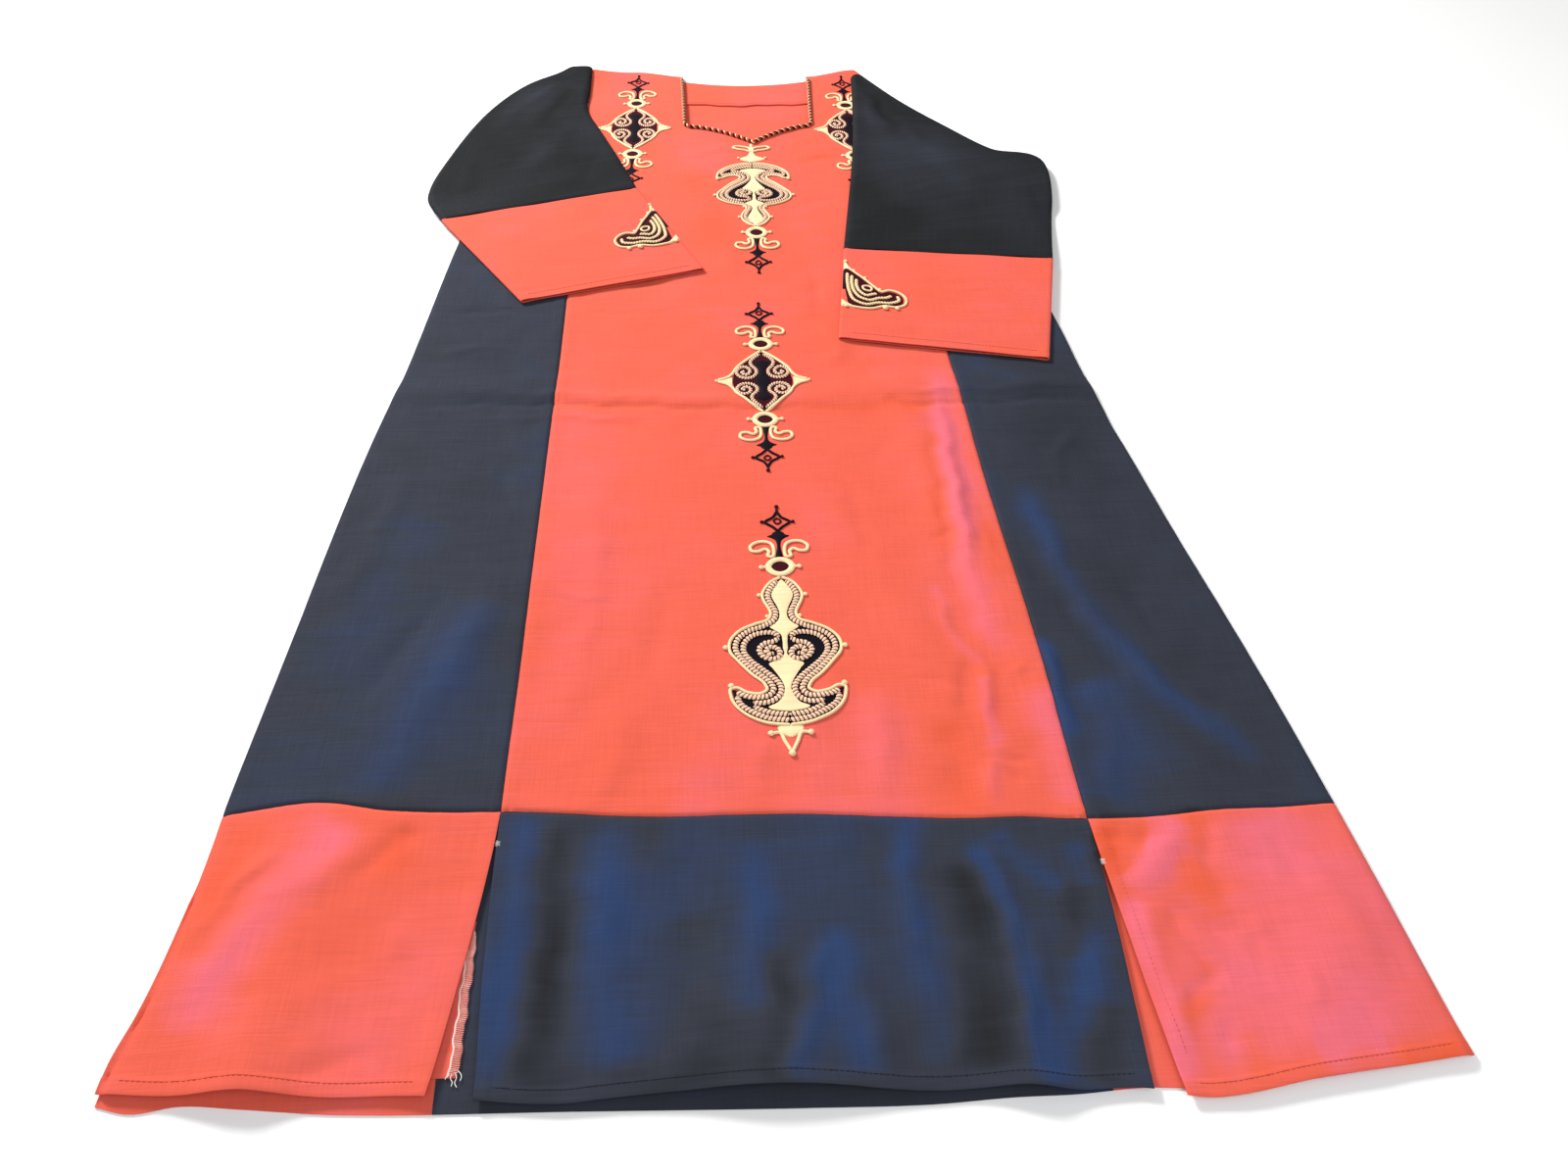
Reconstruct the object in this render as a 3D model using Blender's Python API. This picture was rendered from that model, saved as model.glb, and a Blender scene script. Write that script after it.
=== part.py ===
"""A long robe laid flat on its back, with both sleeves folded in over the front.

A straight coral panel runs down the middle of the front and of the back, with navy side panels that
widen to the hem. The hem band swaps the two colours, and the front band is slit along both seams.
The navy sleeves end in deep coral cuffs. A twisted cord edges the neck, and embroidered medallions
lie on the front, the shoulders and the cuffs. Metres, +Z up; the neck is towards +Y.
"""

import bmesh
import bpy
import numpy as np

# The cloth and the way its layers lie
CLOTH = 0.0012
SEAM_GAP = 0.0003
LIE_GAP = 0.0007
FRONT_HEIGHT = 0.0045
FOLD_FOOT = 0.0019
FOLD_ROLL = 0.008
ROLL_STEPS = (0.0, 0.15, 0.5, 1.0)

# Cells of the cloth between its seams, the same on both sides of each seam
FRONT_CELLS = (5, 8)
BACK_CELLS = (8, 4)
SIDE_CELLS = 5
BAND_ROWS = 6

# The cut, measured up from the hem line and across from the middle of the robe
BAND_UP = 0.18
EDGE_SET_BACK = 0.0005
SHOULDER_SET_BACK = 0.0028
SHOULDER_UP = 1.365
SHOULDER_LIFT = 0.016
SHOULDER_LIFT_FROM = 0.080
SHOULDER_LIFT_WIDTH = 0.07
SHOULDER_ROLL = 0.012
NECK_CORNER_UP = 1.212
NECK_DROP = 0.044
NECK_CURVE = 1.65
NECK_LEFT = -0.082
NECK_POINT = 0.002
NECK_RIGHT = 0.075
NECK_FLARE = 0.035
BACK_NECK_MIDDLE = -0.004
BACK_NECK_UP = 1.354
BACK_NECK_DIP = 0.013
BACK_NECK_HALF = 0.083
BACK_NECK_REACH = 0.100
FACING_UP = 1.285
FACING_REACH = 0.018
FACING_SET_IN = 0.004
FACING_DIP = 0.6
FACING_THICK = 0.0010
UNDERARM_UP = 1.105
UNDERARM_SLOPE = 0.42
RIGHT_FOLD_START = 0.148
RIGHT_FOLD_SLOPE = 1.6
RIGHT_FOLD_CURVE = 10.0
CORD_RADIUS = 0.0026
CORD_SET_IN = 0.0022
CORD_RISE = 0.138

# Where the bottom centre of the box round the robe is, in the cut's own measures
MIDDLE_ACROSS = -0.0070
MIDDLE_UP = 0.6843

# Up from the hem line: left side fold, left seam, right seam, right side fold
BODY_STATIONS = np.array(
    [
        (-0.020, -0.408, -0.193, 0.197, 0.397),
        (0.015, -0.406, -0.194, 0.198, 0.392),
        (0.045, -0.399, -0.196, 0.199, 0.389),
        (0.110, -0.390, -0.199, 0.201, 0.383),
        (0.200, -0.386, -0.200, 0.199, 0.374),
        (0.330, -0.379, -0.200, 0.196, 0.359),
        (0.460, -0.372, -0.201, 0.191, 0.341),
        (0.580, -0.364, -0.202, 0.187, 0.326),
        (0.635, -0.359, -0.202, 0.186, 0.319),
        (0.655, -0.357, -0.202, 0.185, 0.318),
        (0.700, -0.351, -0.202, 0.183, 0.312),
        (0.780, -0.345, -0.203, 0.183, 0.306),
        (0.920, -0.336, -0.206, 0.190, 0.292),
        (1.110, -0.320, -0.208, 0.199, 0.274),
        (1.362, -0.304, -0.213, 0.205, 0.262),
    ]
)

# Across: front hem, back hem, seam of the hem band, all up from the hem line
HEM_STATIONS = np.array(
    [
        (-0.408, 0.016, 0.010, 0.197),
        (-0.388, 0.014, 0.005, 0.199),
        (-0.360, 0.012, 0.008, 0.203),
        (-0.325, 0.012, 0.005, 0.206),
        (-0.275, 0.008, 0.000, 0.197),
        (-0.235, 0.007, -0.002, 0.195),
        (-0.194, 0.003, -0.003, 0.195),
        (-0.145, -0.001, -0.004, 0.191),
        (-0.110, 0.001, -0.005, 0.188),
        (0.000, 0.002, -0.008, 0.186),
        (0.070, -0.003, -0.009, 0.181),
        (0.120, -0.003, -0.007, 0.178),
        (0.150, -0.006, -0.007, 0.178),
        (0.197, -0.007, -0.005, 0.174),
        (0.218, -0.012, -0.006, 0.174),
        (0.300, -0.005, -0.001, 0.177),
        (0.397, 0.005, 0.008, 0.182),
    ]
)

# The slits open downwards: how far each side band's inner edge stands off the seam at the hem
LEFT_SLIT = 0.027
RIGHT_SLIT = 0.018
SLIT_CURVE = 1.5
# The back's seams lie to the left of the front's at the hem, and meet them this far up
BACK_SHIFT = -0.023
BACK_SHIFT_UP = 0.6

# Soft rises of the front: across, up, half length, half width, turn in degrees, height
RISES = (
    (-0.326, 0.020, 0.070, 0.030, 90, 0.0080),
    (-0.215, 0.020, 0.060, 0.018, 90, 0.0025),
    (-0.020, 0.010, 0.060, 0.060, 90, 0.0080),
    (0.130, 0.000, 0.050, 0.022, 90, 0.0060),
    (0.330, 0.060, 0.090, 0.030, 60, 0.0030),
    (-0.300, 0.150, 0.120, 0.040, 50, 0.0035),
    (0.260, 0.250, 0.200, 0.028, 115, 0.0040),
    (0.165, 0.420, 0.220, 0.020, 100, 0.0035),
    (0.110, 0.330, 0.160, 0.022, 112, 0.0030),
    (-0.250, 0.330, 0.200, 0.040, 60, 0.0030),
    (0.110, 0.660, 0.100, 0.018, 8, 0.0025),
    (-0.280, 0.668, 0.090, 0.016, 4, 0.0028),
    (0.265, 0.662, 0.060, 0.014, 172, 0.0035),
    (-0.050, 0.640, 0.160, 0.014, 0, 0.0016),
    (0.110, 0.960, 0.080, 0.030, 40, 0.0016),
    (-0.217, 1.376, 0.026, 0.050, 60, 0.0060),
    (0.146, 1.380, 0.026, 0.050, 110, 0.0040),
)

# Past the edge of what it lies on, a sleeve first stays level and then sinks over these widths
OVERHANG = (0.028, 0.030)

# Each sleeve from the shoulder to the cuff seam:
# inner edge across and up, outer edge across and up, how far it stands above what it lies on
LEFT_SLEEVE = np.array(
    [
        (-0.2100, 1.3700, -0.2430, 1.3740, 0.0055),
        (-0.2100, 1.3100, -0.2970, 1.3230, 0.0072),
        (-0.2090, 1.2530, -0.3390, 1.2390, 0.0070),
        (-0.1870, 1.1900, -0.3670, 1.1300, 0.0065),
        (-0.1620, 1.1200, -0.3800, 1.0350, 0.0060),
        (-0.1380, 1.0470, -0.3560, 0.9780, 0.0052),
    ]
)
RIGHT_SLEEVE = np.array(
    [
        (0.1400, 1.3430, 0.1570, 1.3430, 0.0100),
        (0.1370, 1.2900, 0.2000, 1.2660, 0.0085),
        (0.1300, 1.2000, 0.2510, 1.1960, 0.0075),
        (0.1210, 1.1100, 0.3000, 1.1360, 0.0065),
        (0.1080, 1.0100, 0.3590, 1.0970, 0.0060),
        (0.0940, 0.9070, 0.3230, 0.8820, 0.0052),
    ]
)
# The hidden layers under each fold, from the shoulder down to the underarm:
# inner edge across and up, outer edge across and up
LEFT_UNDER = np.array(
    [
        (-0.2160, 1.3590, -0.2400, 1.3600),
        (-0.2150, 1.3100, -0.2870, 1.3150),
        (-0.2140, 1.2530, -0.3290, 1.2300),
        (-0.2120, 1.1800, -0.3500, 1.1700),
        (-0.2105, 1.1060, -0.3760, 1.0360),
    ]
)
RIGHT_UNDER = np.array(
    [
        (0.2075, 1.2480, 0.2110, 1.2460),
        (0.2070, 1.2000, 0.2410, 1.1980),
        (0.2060, 1.1500, 0.2820, 1.1440),
        (0.2045, 1.1060, 0.3540, 1.0430),
    ]
)
# Each cuff: the four corners in turn, inner at the seam, outer at the seam, outer and inner at the mouth
LEFT_CUFF = np.array([(-0.138, 1.047), (-0.356, 0.978), (-0.250, 0.812), (-0.060, 0.870)])
RIGHT_CUFF = np.array([(0.094, 0.907), (0.323, 0.882), (0.281, 0.698), (0.0745, 0.7385)])
# A sleeve is rounded off at both edges, from this share of its height; its edge columns, in shares
SLEEVE_LIP = 0.35
SLEEVE_EDGES = (0.0, 0.008, 0.030)
CUFF_HALF_HEIGHT = 0.0020
CUFF_ROLL = 0.004

# Embroidered medallions, as half widths down their length: distance from the top end, half width
SLIM_ENDS = ((0.000, 0.0035), (0.020, 0.0130), (0.040, 0.0060), (0.058, 0.0220), (0.070, 0.0200))
HEM_MEDALLION = (
    *SLIM_ENDS,
    (0.084, 0.0190),
    (0.100, 0.0070),
    (0.116, 0.0200),
    (0.134, 0.0120),
    (0.152, 0.0360),
    (0.166, 0.0470),
    (0.184, 0.0380),
    (0.202, 0.0200),
    (0.214, 0.0460),
    (0.226, 0.0400),
    (0.238, 0.0160),
    (0.262, 0.0035),
)
MIDDLE_MEDALLION = (
    *SLIM_ENDS,
    (0.086, 0.0160),
    (0.098, 0.0080),
    (0.112, 0.0220),
    (0.134, 0.0500),
    (0.156, 0.0220),
    (0.170, 0.0080),
    (0.182, 0.0160),
    (0.198, 0.0200),
    (0.210, 0.0220),
    (0.228, 0.0060),
    (0.248, 0.0130),
    (0.268, 0.0035),
)
MEDALLION_THICK = 0.0010
MEDALLION_LIFT = 0.0005
# Name, table, across and up of its top end, length kept, way it points (1 down, -1 up)
MEDALLIONS = (
    ("medallion_neck", HEM_MEDALLION, 0.000, 0.8720, -1),
    ("medallion_middle", MIDDLE_MEDALLION, -0.004, 0.8080, 1),
    ("medallion_hem", HEM_MEDALLION, 0.001, 0.4945, 1),
)

# Finishes
CORAL = ("coral cotton", (0.82, 0.115, 0.070), 0.62)
NAVY = ("navy cotton", (0.020, 0.026, 0.042), 0.58)
CREAM = ("cream thread", (0.88, 0.66, 0.38), 0.50)
CORD = ("cord thread", (0.60, 0.36, 0.22), 0.55)


def material(finish):
    """The named finish as a material, made once."""
    name, colour, roughness = finish
    found = bpy.data.materials.get(name)
    if found:
        return found
    made = bpy.data.materials.new(name)
    made.use_nodes = True
    shader = made.node_tree.nodes["Principled BSDF"]
    shader.inputs["Base Color"].default_value = (*colour, 1.0)
    shader.inputs["Roughness"].default_value = roughness
    shader.inputs["Metallic"].default_value = 0.0
    return made


def clear():
    """Removes whatever the scene holds."""
    for item in list(bpy.data.objects):
        bpy.data.objects.remove(item)


def smooth_step(share):
    """0 below 0 and 1 above 1, with an S-shaped rise between."""
    share = np.clip(share, 0.0, 1.0)
    return share * share * (3.0 - 2.0 * share)


def along(table, column, where):
    """A table's column read at places between its rows, on a curve with no overshoot at its ends."""
    keys, values = table[:, 0], table[:, column]
    slopes = np.gradient(values, keys)
    where = np.clip(where, keys[0], keys[-1])
    row = np.clip(np.searchsorted(keys, where) - 1, 0, len(keys) - 2)
    span = keys[row + 1] - keys[row]
    t = (where - keys[row]) / span
    rise = values[row + 1] - values[row]
    return (
        values[row]
        + rise * (3 * t**2 - 2 * t**3)
        + span * slopes[row] * (t**3 - 2 * t**2 + t)
        + span * slopes[row + 1] * (t**3 - t**2)
    )


def side_left(up):
    return along(BODY_STATIONS, 1, up)


def seam_left(up):
    return along(BODY_STATIONS, 2, up)


def seam_right(up):
    return along(BODY_STATIONS, 3, up)


def side_right(up):
    return along(BODY_STATIONS, 4, up)


def front_hem(across):
    return along(HEM_STATIONS, 1, across)


def back_hem(across):
    return along(HEM_STATIONS, 2, across)


def band_seam(across):
    return along(HEM_STATIONS, 3, across)


def shoulder_up(across):
    """The shoulder line, cut away on the right where the shoulder is folded under the sleeve."""
    folded = np.maximum(0.0, across - RIGHT_FOLD_START)
    lift = SHOULDER_LIFT * smooth_step((np.abs(across) - SHOULDER_LIFT_FROM) / SHOULDER_LIFT_WIDTH)
    return SHOULDER_UP + lift - folded * (RIGHT_FOLD_SLOPE + RIGHT_FOLD_CURVE * folded)


def underarm_up(beyond_seam):
    """The top edge of a side panel, which falls away from the seam towards the side fold."""
    return UNDERARM_UP - beyond_seam * UNDERARM_SLOPE


def front_height(across, up):
    """How high the front's outer face lies: its base height and the soft rises of the cloth."""
    height = np.full(np.shape(across), FRONT_HEIGHT)
    for middle, level, length, width, turn, rise in RISES:
        c, s = np.cos(np.radians(turn)), np.sin(np.radians(turn))
        run = ((across - middle) * c + (up - level) * s) / length
        off = ((up - level) * c - (across - middle) * s) / width
        height = height + rise * np.exp(-(run**2) - off**2)
    return height


def rolled(height, inside, roll):
    """Height brought down to the fold's foot in a quarter round, over the last stretch before a fold."""
    share = np.clip(inside / roll, 0.0, 1.0)
    return FOLD_FOOT + (height - FOLD_FOOT) * np.sqrt(1.0 - (1.0 - share) ** 2)


def points_at(across, up, height):
    """A grid of points in the part's own frame from the cut's measures."""
    return np.stack([across - MIDDLE_ACROSS, up - MIDDLE_UP, height], axis=-1)


def normals_of(grid):
    """Unit normals of a grid of points whose rows run up and whose columns run across."""
    down_rows = np.gradient(grid, axis=0)
    over_columns = np.gradient(grid, axis=1)
    normal = np.cross(over_columns, down_rows)
    return normal / np.linalg.norm(normal, axis=-1, keepdims=True)


def add_object(name, points, faces, finish):
    """One named object from its points and faces, its faces turned outwards."""
    mesh = bpy.data.meshes.new(name)
    mesh.from_pydata([tuple(p) for p in points], [], faces)
    work = bmesh.new()
    work.from_mesh(mesh)
    bmesh.ops.recalc_face_normals(work, faces=work.faces)
    work.to_mesh(mesh)
    work.free()
    mesh.shade_smooth()
    mesh.set_sharp_from_angle(angle=np.radians(50))
    mesh.materials.append(material(finish))
    made = bpy.data.objects.new(name, mesh)
    bpy.context.scene.collection.objects.link(made)
    return made


def wall(name, outer, inner, finish, keep=None):
    """A closed wall between two grids of points, over the cells that keep marks."""
    rows, columns = outer.shape[:2]
    keep = np.ones((rows - 1, columns - 1), bool) if keep is None else keep
    layer = rows * columns
    faces = []
    for r, c in zip(*np.nonzero(keep)):
        a, b = r * columns + c, r * columns + c + 1
        d, e = a + columns, b + columns
        faces.append((a, b, e, d))
        faces.append((a + layer, d + layer, e + layer, b + layer))
        around = (((r - 1, c), (a, b)), ((r + 1, c), (e, d)), ((r, c - 1), (d, a)), ((r, c + 1), (b, e)))
        for (nr, nc), (p, q) in around:
            inside = 0 <= nr < rows - 1 and 0 <= nc < columns - 1 and keep[nr, nc]
            if not inside:
                faces.append((q, p, p + layer, q + layer))
    points = np.concatenate([outer.reshape(-1, 3), inner.reshape(-1, 3)])
    used = sorted({v for face in faces for v in face})
    place = {v: i for i, v in enumerate(used)}
    return add_object(name, points[used], [tuple(place[v] for v in face) for face in faces], finish)


def lying_wall(name, across, up, finish, top=CLOTH, bottom=0.0):
    """A flat sheet of cloth over a grid of places."""
    outer = points_at(across, up, np.full(across.shape, top))
    inner = points_at(across, up, np.full(across.shape, bottom))
    return wall(name, outer, inner, finish)


def draped_wall(name, across, up, height, finish, keep=None):
    """A sheet of cloth one cloth thick under the outer face that a grid of heights gives."""
    outer = points_at(across, up, height)
    return wall(name, outer, outer - CLOTH * normals_of(outer), finish, keep)


def spread(start, end, cells):
    """Places from each start to its end in even cells, which run along the last axis."""
    share = np.linspace(0.0, 1.0, cells + 1)
    return start[..., None] + (end - start)[..., None] * share


def to_the_fold(seam, fold, cells):
    """Places from a seam out to a side fold: even cells, then closer ones round the fold."""
    outward = np.sign(fold - seam)
    even = spread(seam, fold - outward * FOLD_ROLL, cells)[..., :-1]
    steps = np.array(ROLL_STEPS[::-1])
    rolling = fold[..., None] - outward[..., None] * FOLD_ROLL * steps
    return np.concatenate([even, rolling], axis=-1)


def front_columns(level, side_cells=FRONT_CELLS[0], middle_cells=FRONT_CELLS[1]):
    """Places across the middle of the front, from seam to seam, with lines that follow the neck's sides."""
    rise = np.maximum(level - NECK_CORNER_UP, 0.0)
    left, right = NECK_LEFT - rise * NECK_FLARE, NECK_RIGHT + rise * NECK_FLARE
    middle = NECK_POINT + 0.0 * rise
    outer_left, outer_right = seam_left(level) + SEAM_GAP / 2, seam_right(level) - SEAM_GAP / 2
    spans = (
        spread(outer_left, left, side_cells)[..., :-1],
        spread(left, middle, middle_cells // 2)[..., :-1],
        spread(middle, right, middle_cells // 2)[..., :-1],
        spread(right, outer_right, side_cells),
    )
    return np.concatenate(spans, axis=-1)


def make_front_panel():
    """The coral front, from the hem band to the shoulders, round the square neck with its point."""
    body_rows, strap_rows = 30, 4
    side_cells, middle_cells = FRONT_CELLS
    levels = np.linspace(0.0, 1.0, body_rows + 1)[:, None]
    middle = np.arange(side_cells, side_cells + middle_cells + 1)
    point = np.clip(1.0 - np.abs(np.linspace(-1.0, 1.0, middle_cells + 1)), 0.0, 1.0)
    top = np.full(2 * side_cells + middle_cells + 1, NECK_CORNER_UP)
    top[middle] -= NECK_DROP * point**NECK_CURVE
    across = front_columns(BAND_UP + levels[:, 0] * (NECK_CORNER_UP - BAND_UP))
    bottom = band_seam(across) + SEAM_GAP / 2
    up = bottom + (top[None, :] - bottom) * levels

    rolling = SHOULDER_UP - SHOULDER_ROLL * np.array(ROLL_STEPS[::-1])
    even = np.linspace(NECK_CORNER_UP, rolling[0], strap_rows + 1)[1:-1]
    strap_levels = np.concatenate([even, rolling])
    strap_across = front_columns(strap_levels)
    share = (strap_levels - NECK_CORNER_UP) / (SHOULDER_UP - NECK_CORNER_UP)
    strap_up = NECK_CORNER_UP + (shoulder_up(strap_across) - NECK_CORNER_UP) * share[:, None]

    across, up = np.concatenate([across, strap_across]), np.concatenate([up, strap_up])
    height = rolled(front_height(across, up), shoulder_up(across) - up, SHOULDER_ROLL)
    keep = np.ones((across.shape[0] - 1, across.shape[1] - 1), bool)
    keep[body_rows:, side_cells : side_cells + middle_cells] = False
    return draped_wall("front_panel", across, up, height, CORAL, keep)


def make_front_side(name, seam, fold, sign):
    """A navy side panel of the front, from the hem band up to the underarm, rolled over at the side."""
    rows = 26
    levels = np.linspace(0.0, 1.0, rows + 1)
    upright = BAND_UP + levels * (UNDERARM_UP - BAND_UP)
    across = to_the_fold(seam(upright) + sign * SEAM_GAP / 2, fold(upright), SIDE_CELLS)
    top = underarm_up(np.abs(across - seam(upright)[:, None])) - SEAM_GAP
    bottom = band_seam(across) + SEAM_GAP / 2
    up = bottom + (top - bottom) * levels[:, None]
    height = rolled(front_height(across, up), np.abs(fold(up) - across), FOLD_ROLL)
    order = slice(None) if sign > 0 else slice(None, None, -1)
    return draped_wall(name, across[:, order], up[:, order], height[:, order], NAVY)


def make_front_band():
    """The navy middle of the front hem band, between the two slits."""
    levels = np.linspace(0.0, 1.0, BAND_ROWS + 1)
    across = front_columns(levels * BAND_UP)
    bottom, top = front_hem(across), band_seam(across) - SEAM_GAP / 2
    up = bottom + (top - bottom) * levels[:, None]
    return draped_wall("front_band", across, up, front_height(across, up), NAVY)


def make_side_band(name, seam, fold, sign, slit):
    """A coral side of the front hem band, whose inner edge swings away from the slit."""
    levels = np.linspace(0.0, 1.0, BAND_ROWS + 1)
    upright = levels * BAND_UP
    opening = sign * slit * (1.0 - levels) ** SLIT_CURVE
    across = to_the_fold(seam(upright) + sign * SEAM_GAP / 2 + opening, fold(upright), SIDE_CELLS)
    bottom, top = front_hem(across), band_seam(across) - SEAM_GAP / 2
    up = bottom + (top - bottom) * levels[:, None]
    height = rolled(front_height(across, up), np.abs(fold(up) - across), FOLD_ROLL)
    order = slice(None) if sign > 0 else slice(None, None, -1)
    return draped_wall(name, across[:, order], up[:, order], height[:, order], CORAL)


def back_seam(seam, up):
    """A seam of the back, which lies a little to the left of the front's towards the hem."""
    return seam(up) + BACK_SHIFT * (1.0 - smooth_step(up / BACK_SHIFT_UP))


def make_back():
    """The back, flat on the surface: a coral panel, two navy side panels and the three hem bands."""
    middle_cells, side_cells = BACK_CELLS
    rows = 12
    levels = np.linspace(0.0, 1.0, rows)[:, None]
    upright = BAND_UP + levels[:, 0] * (UNDERARM_UP - BAND_UP)
    left, right = back_seam(seam_left, upright) + SEAM_GAP / 2, back_seam(seam_right, upright) - SEAM_GAP / 2
    lower_across = spread(left, right, middle_cells)
    bottom = band_seam(lower_across) + SEAM_GAP / 2
    lower_up = bottom + (UNDERARM_UP - bottom) * levels
    high_levels = np.array([1.16, NECK_CORNER_UP, 1.28, SHOULDER_UP])
    neck = np.linspace(0.29, 0.71, middle_cells - 3)
    share = np.concatenate([[0.0, neck[0] / 2], neck, [(1.0 + neck[-1]) / 2, 1.0]])
    start, end = seam_left(high_levels) + SEAM_GAP / 2, seam_right(high_levels) - SEAM_GAP / 2
    high_across = start[:, None] + (end - start)[:, None] * share
    off = np.abs(high_across[-1] - BACK_NECK_MIDDLE)
    top = shoulder_up(high_across[-1]) - SHOULDER_SET_BACK
    dip = BACK_NECK_UP - BACK_NECK_DIP * (1.0 - (off / BACK_NECK_HALF) ** 2)
    top = np.where(off < BACK_NECK_REACH, np.minimum(top, dip), top)
    high_up = np.repeat(high_levels[:, None], middle_cells + 1, axis=1)
    high_up[-1] = top
    high_up[-2] = np.minimum(high_up[-2], (high_up[-3] + top) / 2)
    across, up = np.concatenate([lower_across, high_across]), np.concatenate([lower_up, high_up])
    lying_wall("back_panel", across, up, CORAL)

    for name, seam, fold, sign in (
        ("back_side_left", seam_left, side_left, -1.0),
        ("back_side_right", seam_right, side_right, 1.0),
    ):
        start, end = back_seam(seam, upright) + sign * SEAM_GAP / 2, fold(upright) - sign * EDGE_SET_BACK
        across = spread(start, end, side_cells)
        top = underarm_up(np.abs(across - seam(upright)[:, None])) - SEAM_GAP
        bottom = band_seam(across) + SEAM_GAP / 2
        lying_wall(name, across, bottom + (top - bottom) * levels, NAVY)

    upright = np.linspace(0.0, BAND_UP, 4)
    levels = np.linspace(0.0, 1.0, 4)[:, None]
    left, right = back_seam(seam_left, upright), back_seam(seam_right, upright)
    bands = (
        ("back_band", left + SEAM_GAP / 2, right - SEAM_GAP / 2, middle_cells, NAVY),
        ("back_band_left", side_left(upright) + EDGE_SET_BACK, left - SEAM_GAP / 2, side_cells, CORAL),
        ("back_band_right", right + SEAM_GAP / 2, side_right(upright) - EDGE_SET_BACK, side_cells, CORAL),
    )
    for name, start, end, cells, finish in bands:
        across = spread(start, end, cells)
        bottom, top = back_hem(across), band_seam(across) - SEAM_GAP / 2
        lying_wall(name, across, bottom + (top - bottom) * levels, finish)


def make_neck_facing():
    """The strip sewn inside the back neck, which shows through the neck opening."""
    across = np.linspace(NECK_LEFT - FACING_REACH, NECK_RIGHT + FACING_REACH, 9)
    dip = BACK_NECK_DIP * (1.0 - ((across - BACK_NECK_MIDDLE) / (BACK_NECK_HALF + FACING_REACH)) ** 2)
    up = spread(FACING_UP - FACING_DIP * dip, BACK_NECK_UP - dip - FACING_SET_IN, 2).T
    grid = np.repeat(across[None, :], 3, axis=0)
    bottom = CLOTH + SEAM_GAP
    lying_wall("neck_facing", grid, up, CORAL, bottom + FACING_THICK, bottom)


def resting_on(across, up):
    """The height of what a sleeve lies on: the front and the hidden layers, falling to the floor beyond."""
    outside = np.maximum(side_left(up) - across, across - side_right(up))
    beyond_left, beyond_right = seam_left(up) - across, across - seam_right(up)
    below = underarm_up(np.maximum(beyond_left, beyond_right)) - up
    off = np.minimum(outside, below)
    over_body = FRONT_HEIGHT * (1.0 - smooth_step((off - OVERHANG[0]) / OVERHANG[1]))
    raised = front_height(across, up) - FRONT_HEIGHT
    return over_body + np.where(outside < 0.0, raised, 0.0)


def sleeve_grid(table, rows, cells):
    """Places between a sleeve's inner and outer edge, from its table of sections, and how far it stands."""
    stations = np.column_stack([np.linspace(0.0, 1.0, len(table)), table])
    where = np.linspace(0.0, 1.0, rows + 1)
    columns = [along(stations, column, where) for column in range(1, stations.shape[1])]
    inner_x, inner_y, outer_x, outer_y, *stand = columns
    edge = np.array(SLEEVE_EDGES)
    share = np.concatenate([edge, np.linspace(0.0, 1.0, cells - 3)[1:-1], 1.0 - edge[::-1]])
    across = inner_x[:, None] + (outer_x - inner_x)[:, None] * share
    up = inner_y[:, None] + (outer_y - inner_y)[:, None] * share
    return across, up, share, (stand[0][:, None] if stand else None)


def make_sleeve(name, table):
    """A folded sleeve's visible part: a soft slab, rounded at both long edges, that lies on the front."""
    across, up, share, stand = sleeve_grid(table, 16, 12)
    bottom = resting_on(across, up) + LIE_GAP
    width = np.hypot(across[:, -1] - across[:, 0], up[:, -1] - up[:, 0])[:, None]
    inside = np.minimum(share, 1.0 - share)[None, :] * width
    edge = np.sqrt(1.0 - (1.0 - np.clip(inside / FOLD_ROLL, 0.0, 1.0)) ** 2)
    top = bottom + stand * (SLEEVE_LIP + (1.0 - SLEEVE_LIP) * edge)
    outer, inner = points_at(across, up, top), points_at(across, up, bottom)
    return wall(name, outer, inner, NAVY)


def make_hidden_layers(name, table):
    """The layers of a sleeve under its fold, as one solid that lies on the surface beside the body."""
    across, up, _, _ = sleeve_grid(table, 6, 6)
    top = np.full(across.shape, FRONT_HEIGHT)
    return wall(name, points_at(across, up, top), points_at(across, up, 0.0 * top), NAVY)


def make_cuff(name, corners, face):
    """One layer of a flattened coral cuff, upper (face 1) or under (face -1), turned in at its folds."""
    rows, cells = 6, 8
    seam_in, seam_out, mouth_out, mouth_in = corners
    step = SEAM_GAP / np.linalg.norm(mouth_in - seam_in)
    down = (step + (1.0 - step) * np.linspace(0.0, 1.0, rows + 1))[:, None]
    start = seam_in + (mouth_in - seam_in) * down
    end = seam_out + (mouth_out - seam_out) * down
    width = np.linalg.norm(end - start, axis=1)
    turns = np.radians(np.linspace(0.0, 90.0, 4))
    run = np.linspace(0.0, 1.0, cells + 1)[1:-1]
    grids = []
    for inset in (0.0, CLOTH):
        half = CUFF_HALF_HEIGHT - inset
        fold_in = (CUFF_ROLL - inset) * np.cos(turns) - CUFF_ROLL
        level = half * np.sin(turns) + SEAM_GAP / 2
        flat = np.full(len(run), half + SEAM_GAP / 2)
        places = np.concatenate([0.0 * turns, run, 0.0 * turns + 1.0])
        bulge = np.concatenate([-fold_in, 0.0 * run, fold_in[::-1]])
        height = np.concatenate([level, flat, level[::-1]])
        share = places[None, :] + bulge[None, :] / width[:, None]
        spot = start[:, None, :] + (end - start)[:, None, :] * share[..., None]
        middle = resting_on(spot[..., 0], spot[..., 1]) + LIE_GAP + CUFF_HALF_HEIGHT
        grids.append(points_at(spot[..., 0], spot[..., 1], middle + face * height[None, :]))
    return wall(name, *grids, CORAL)


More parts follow.
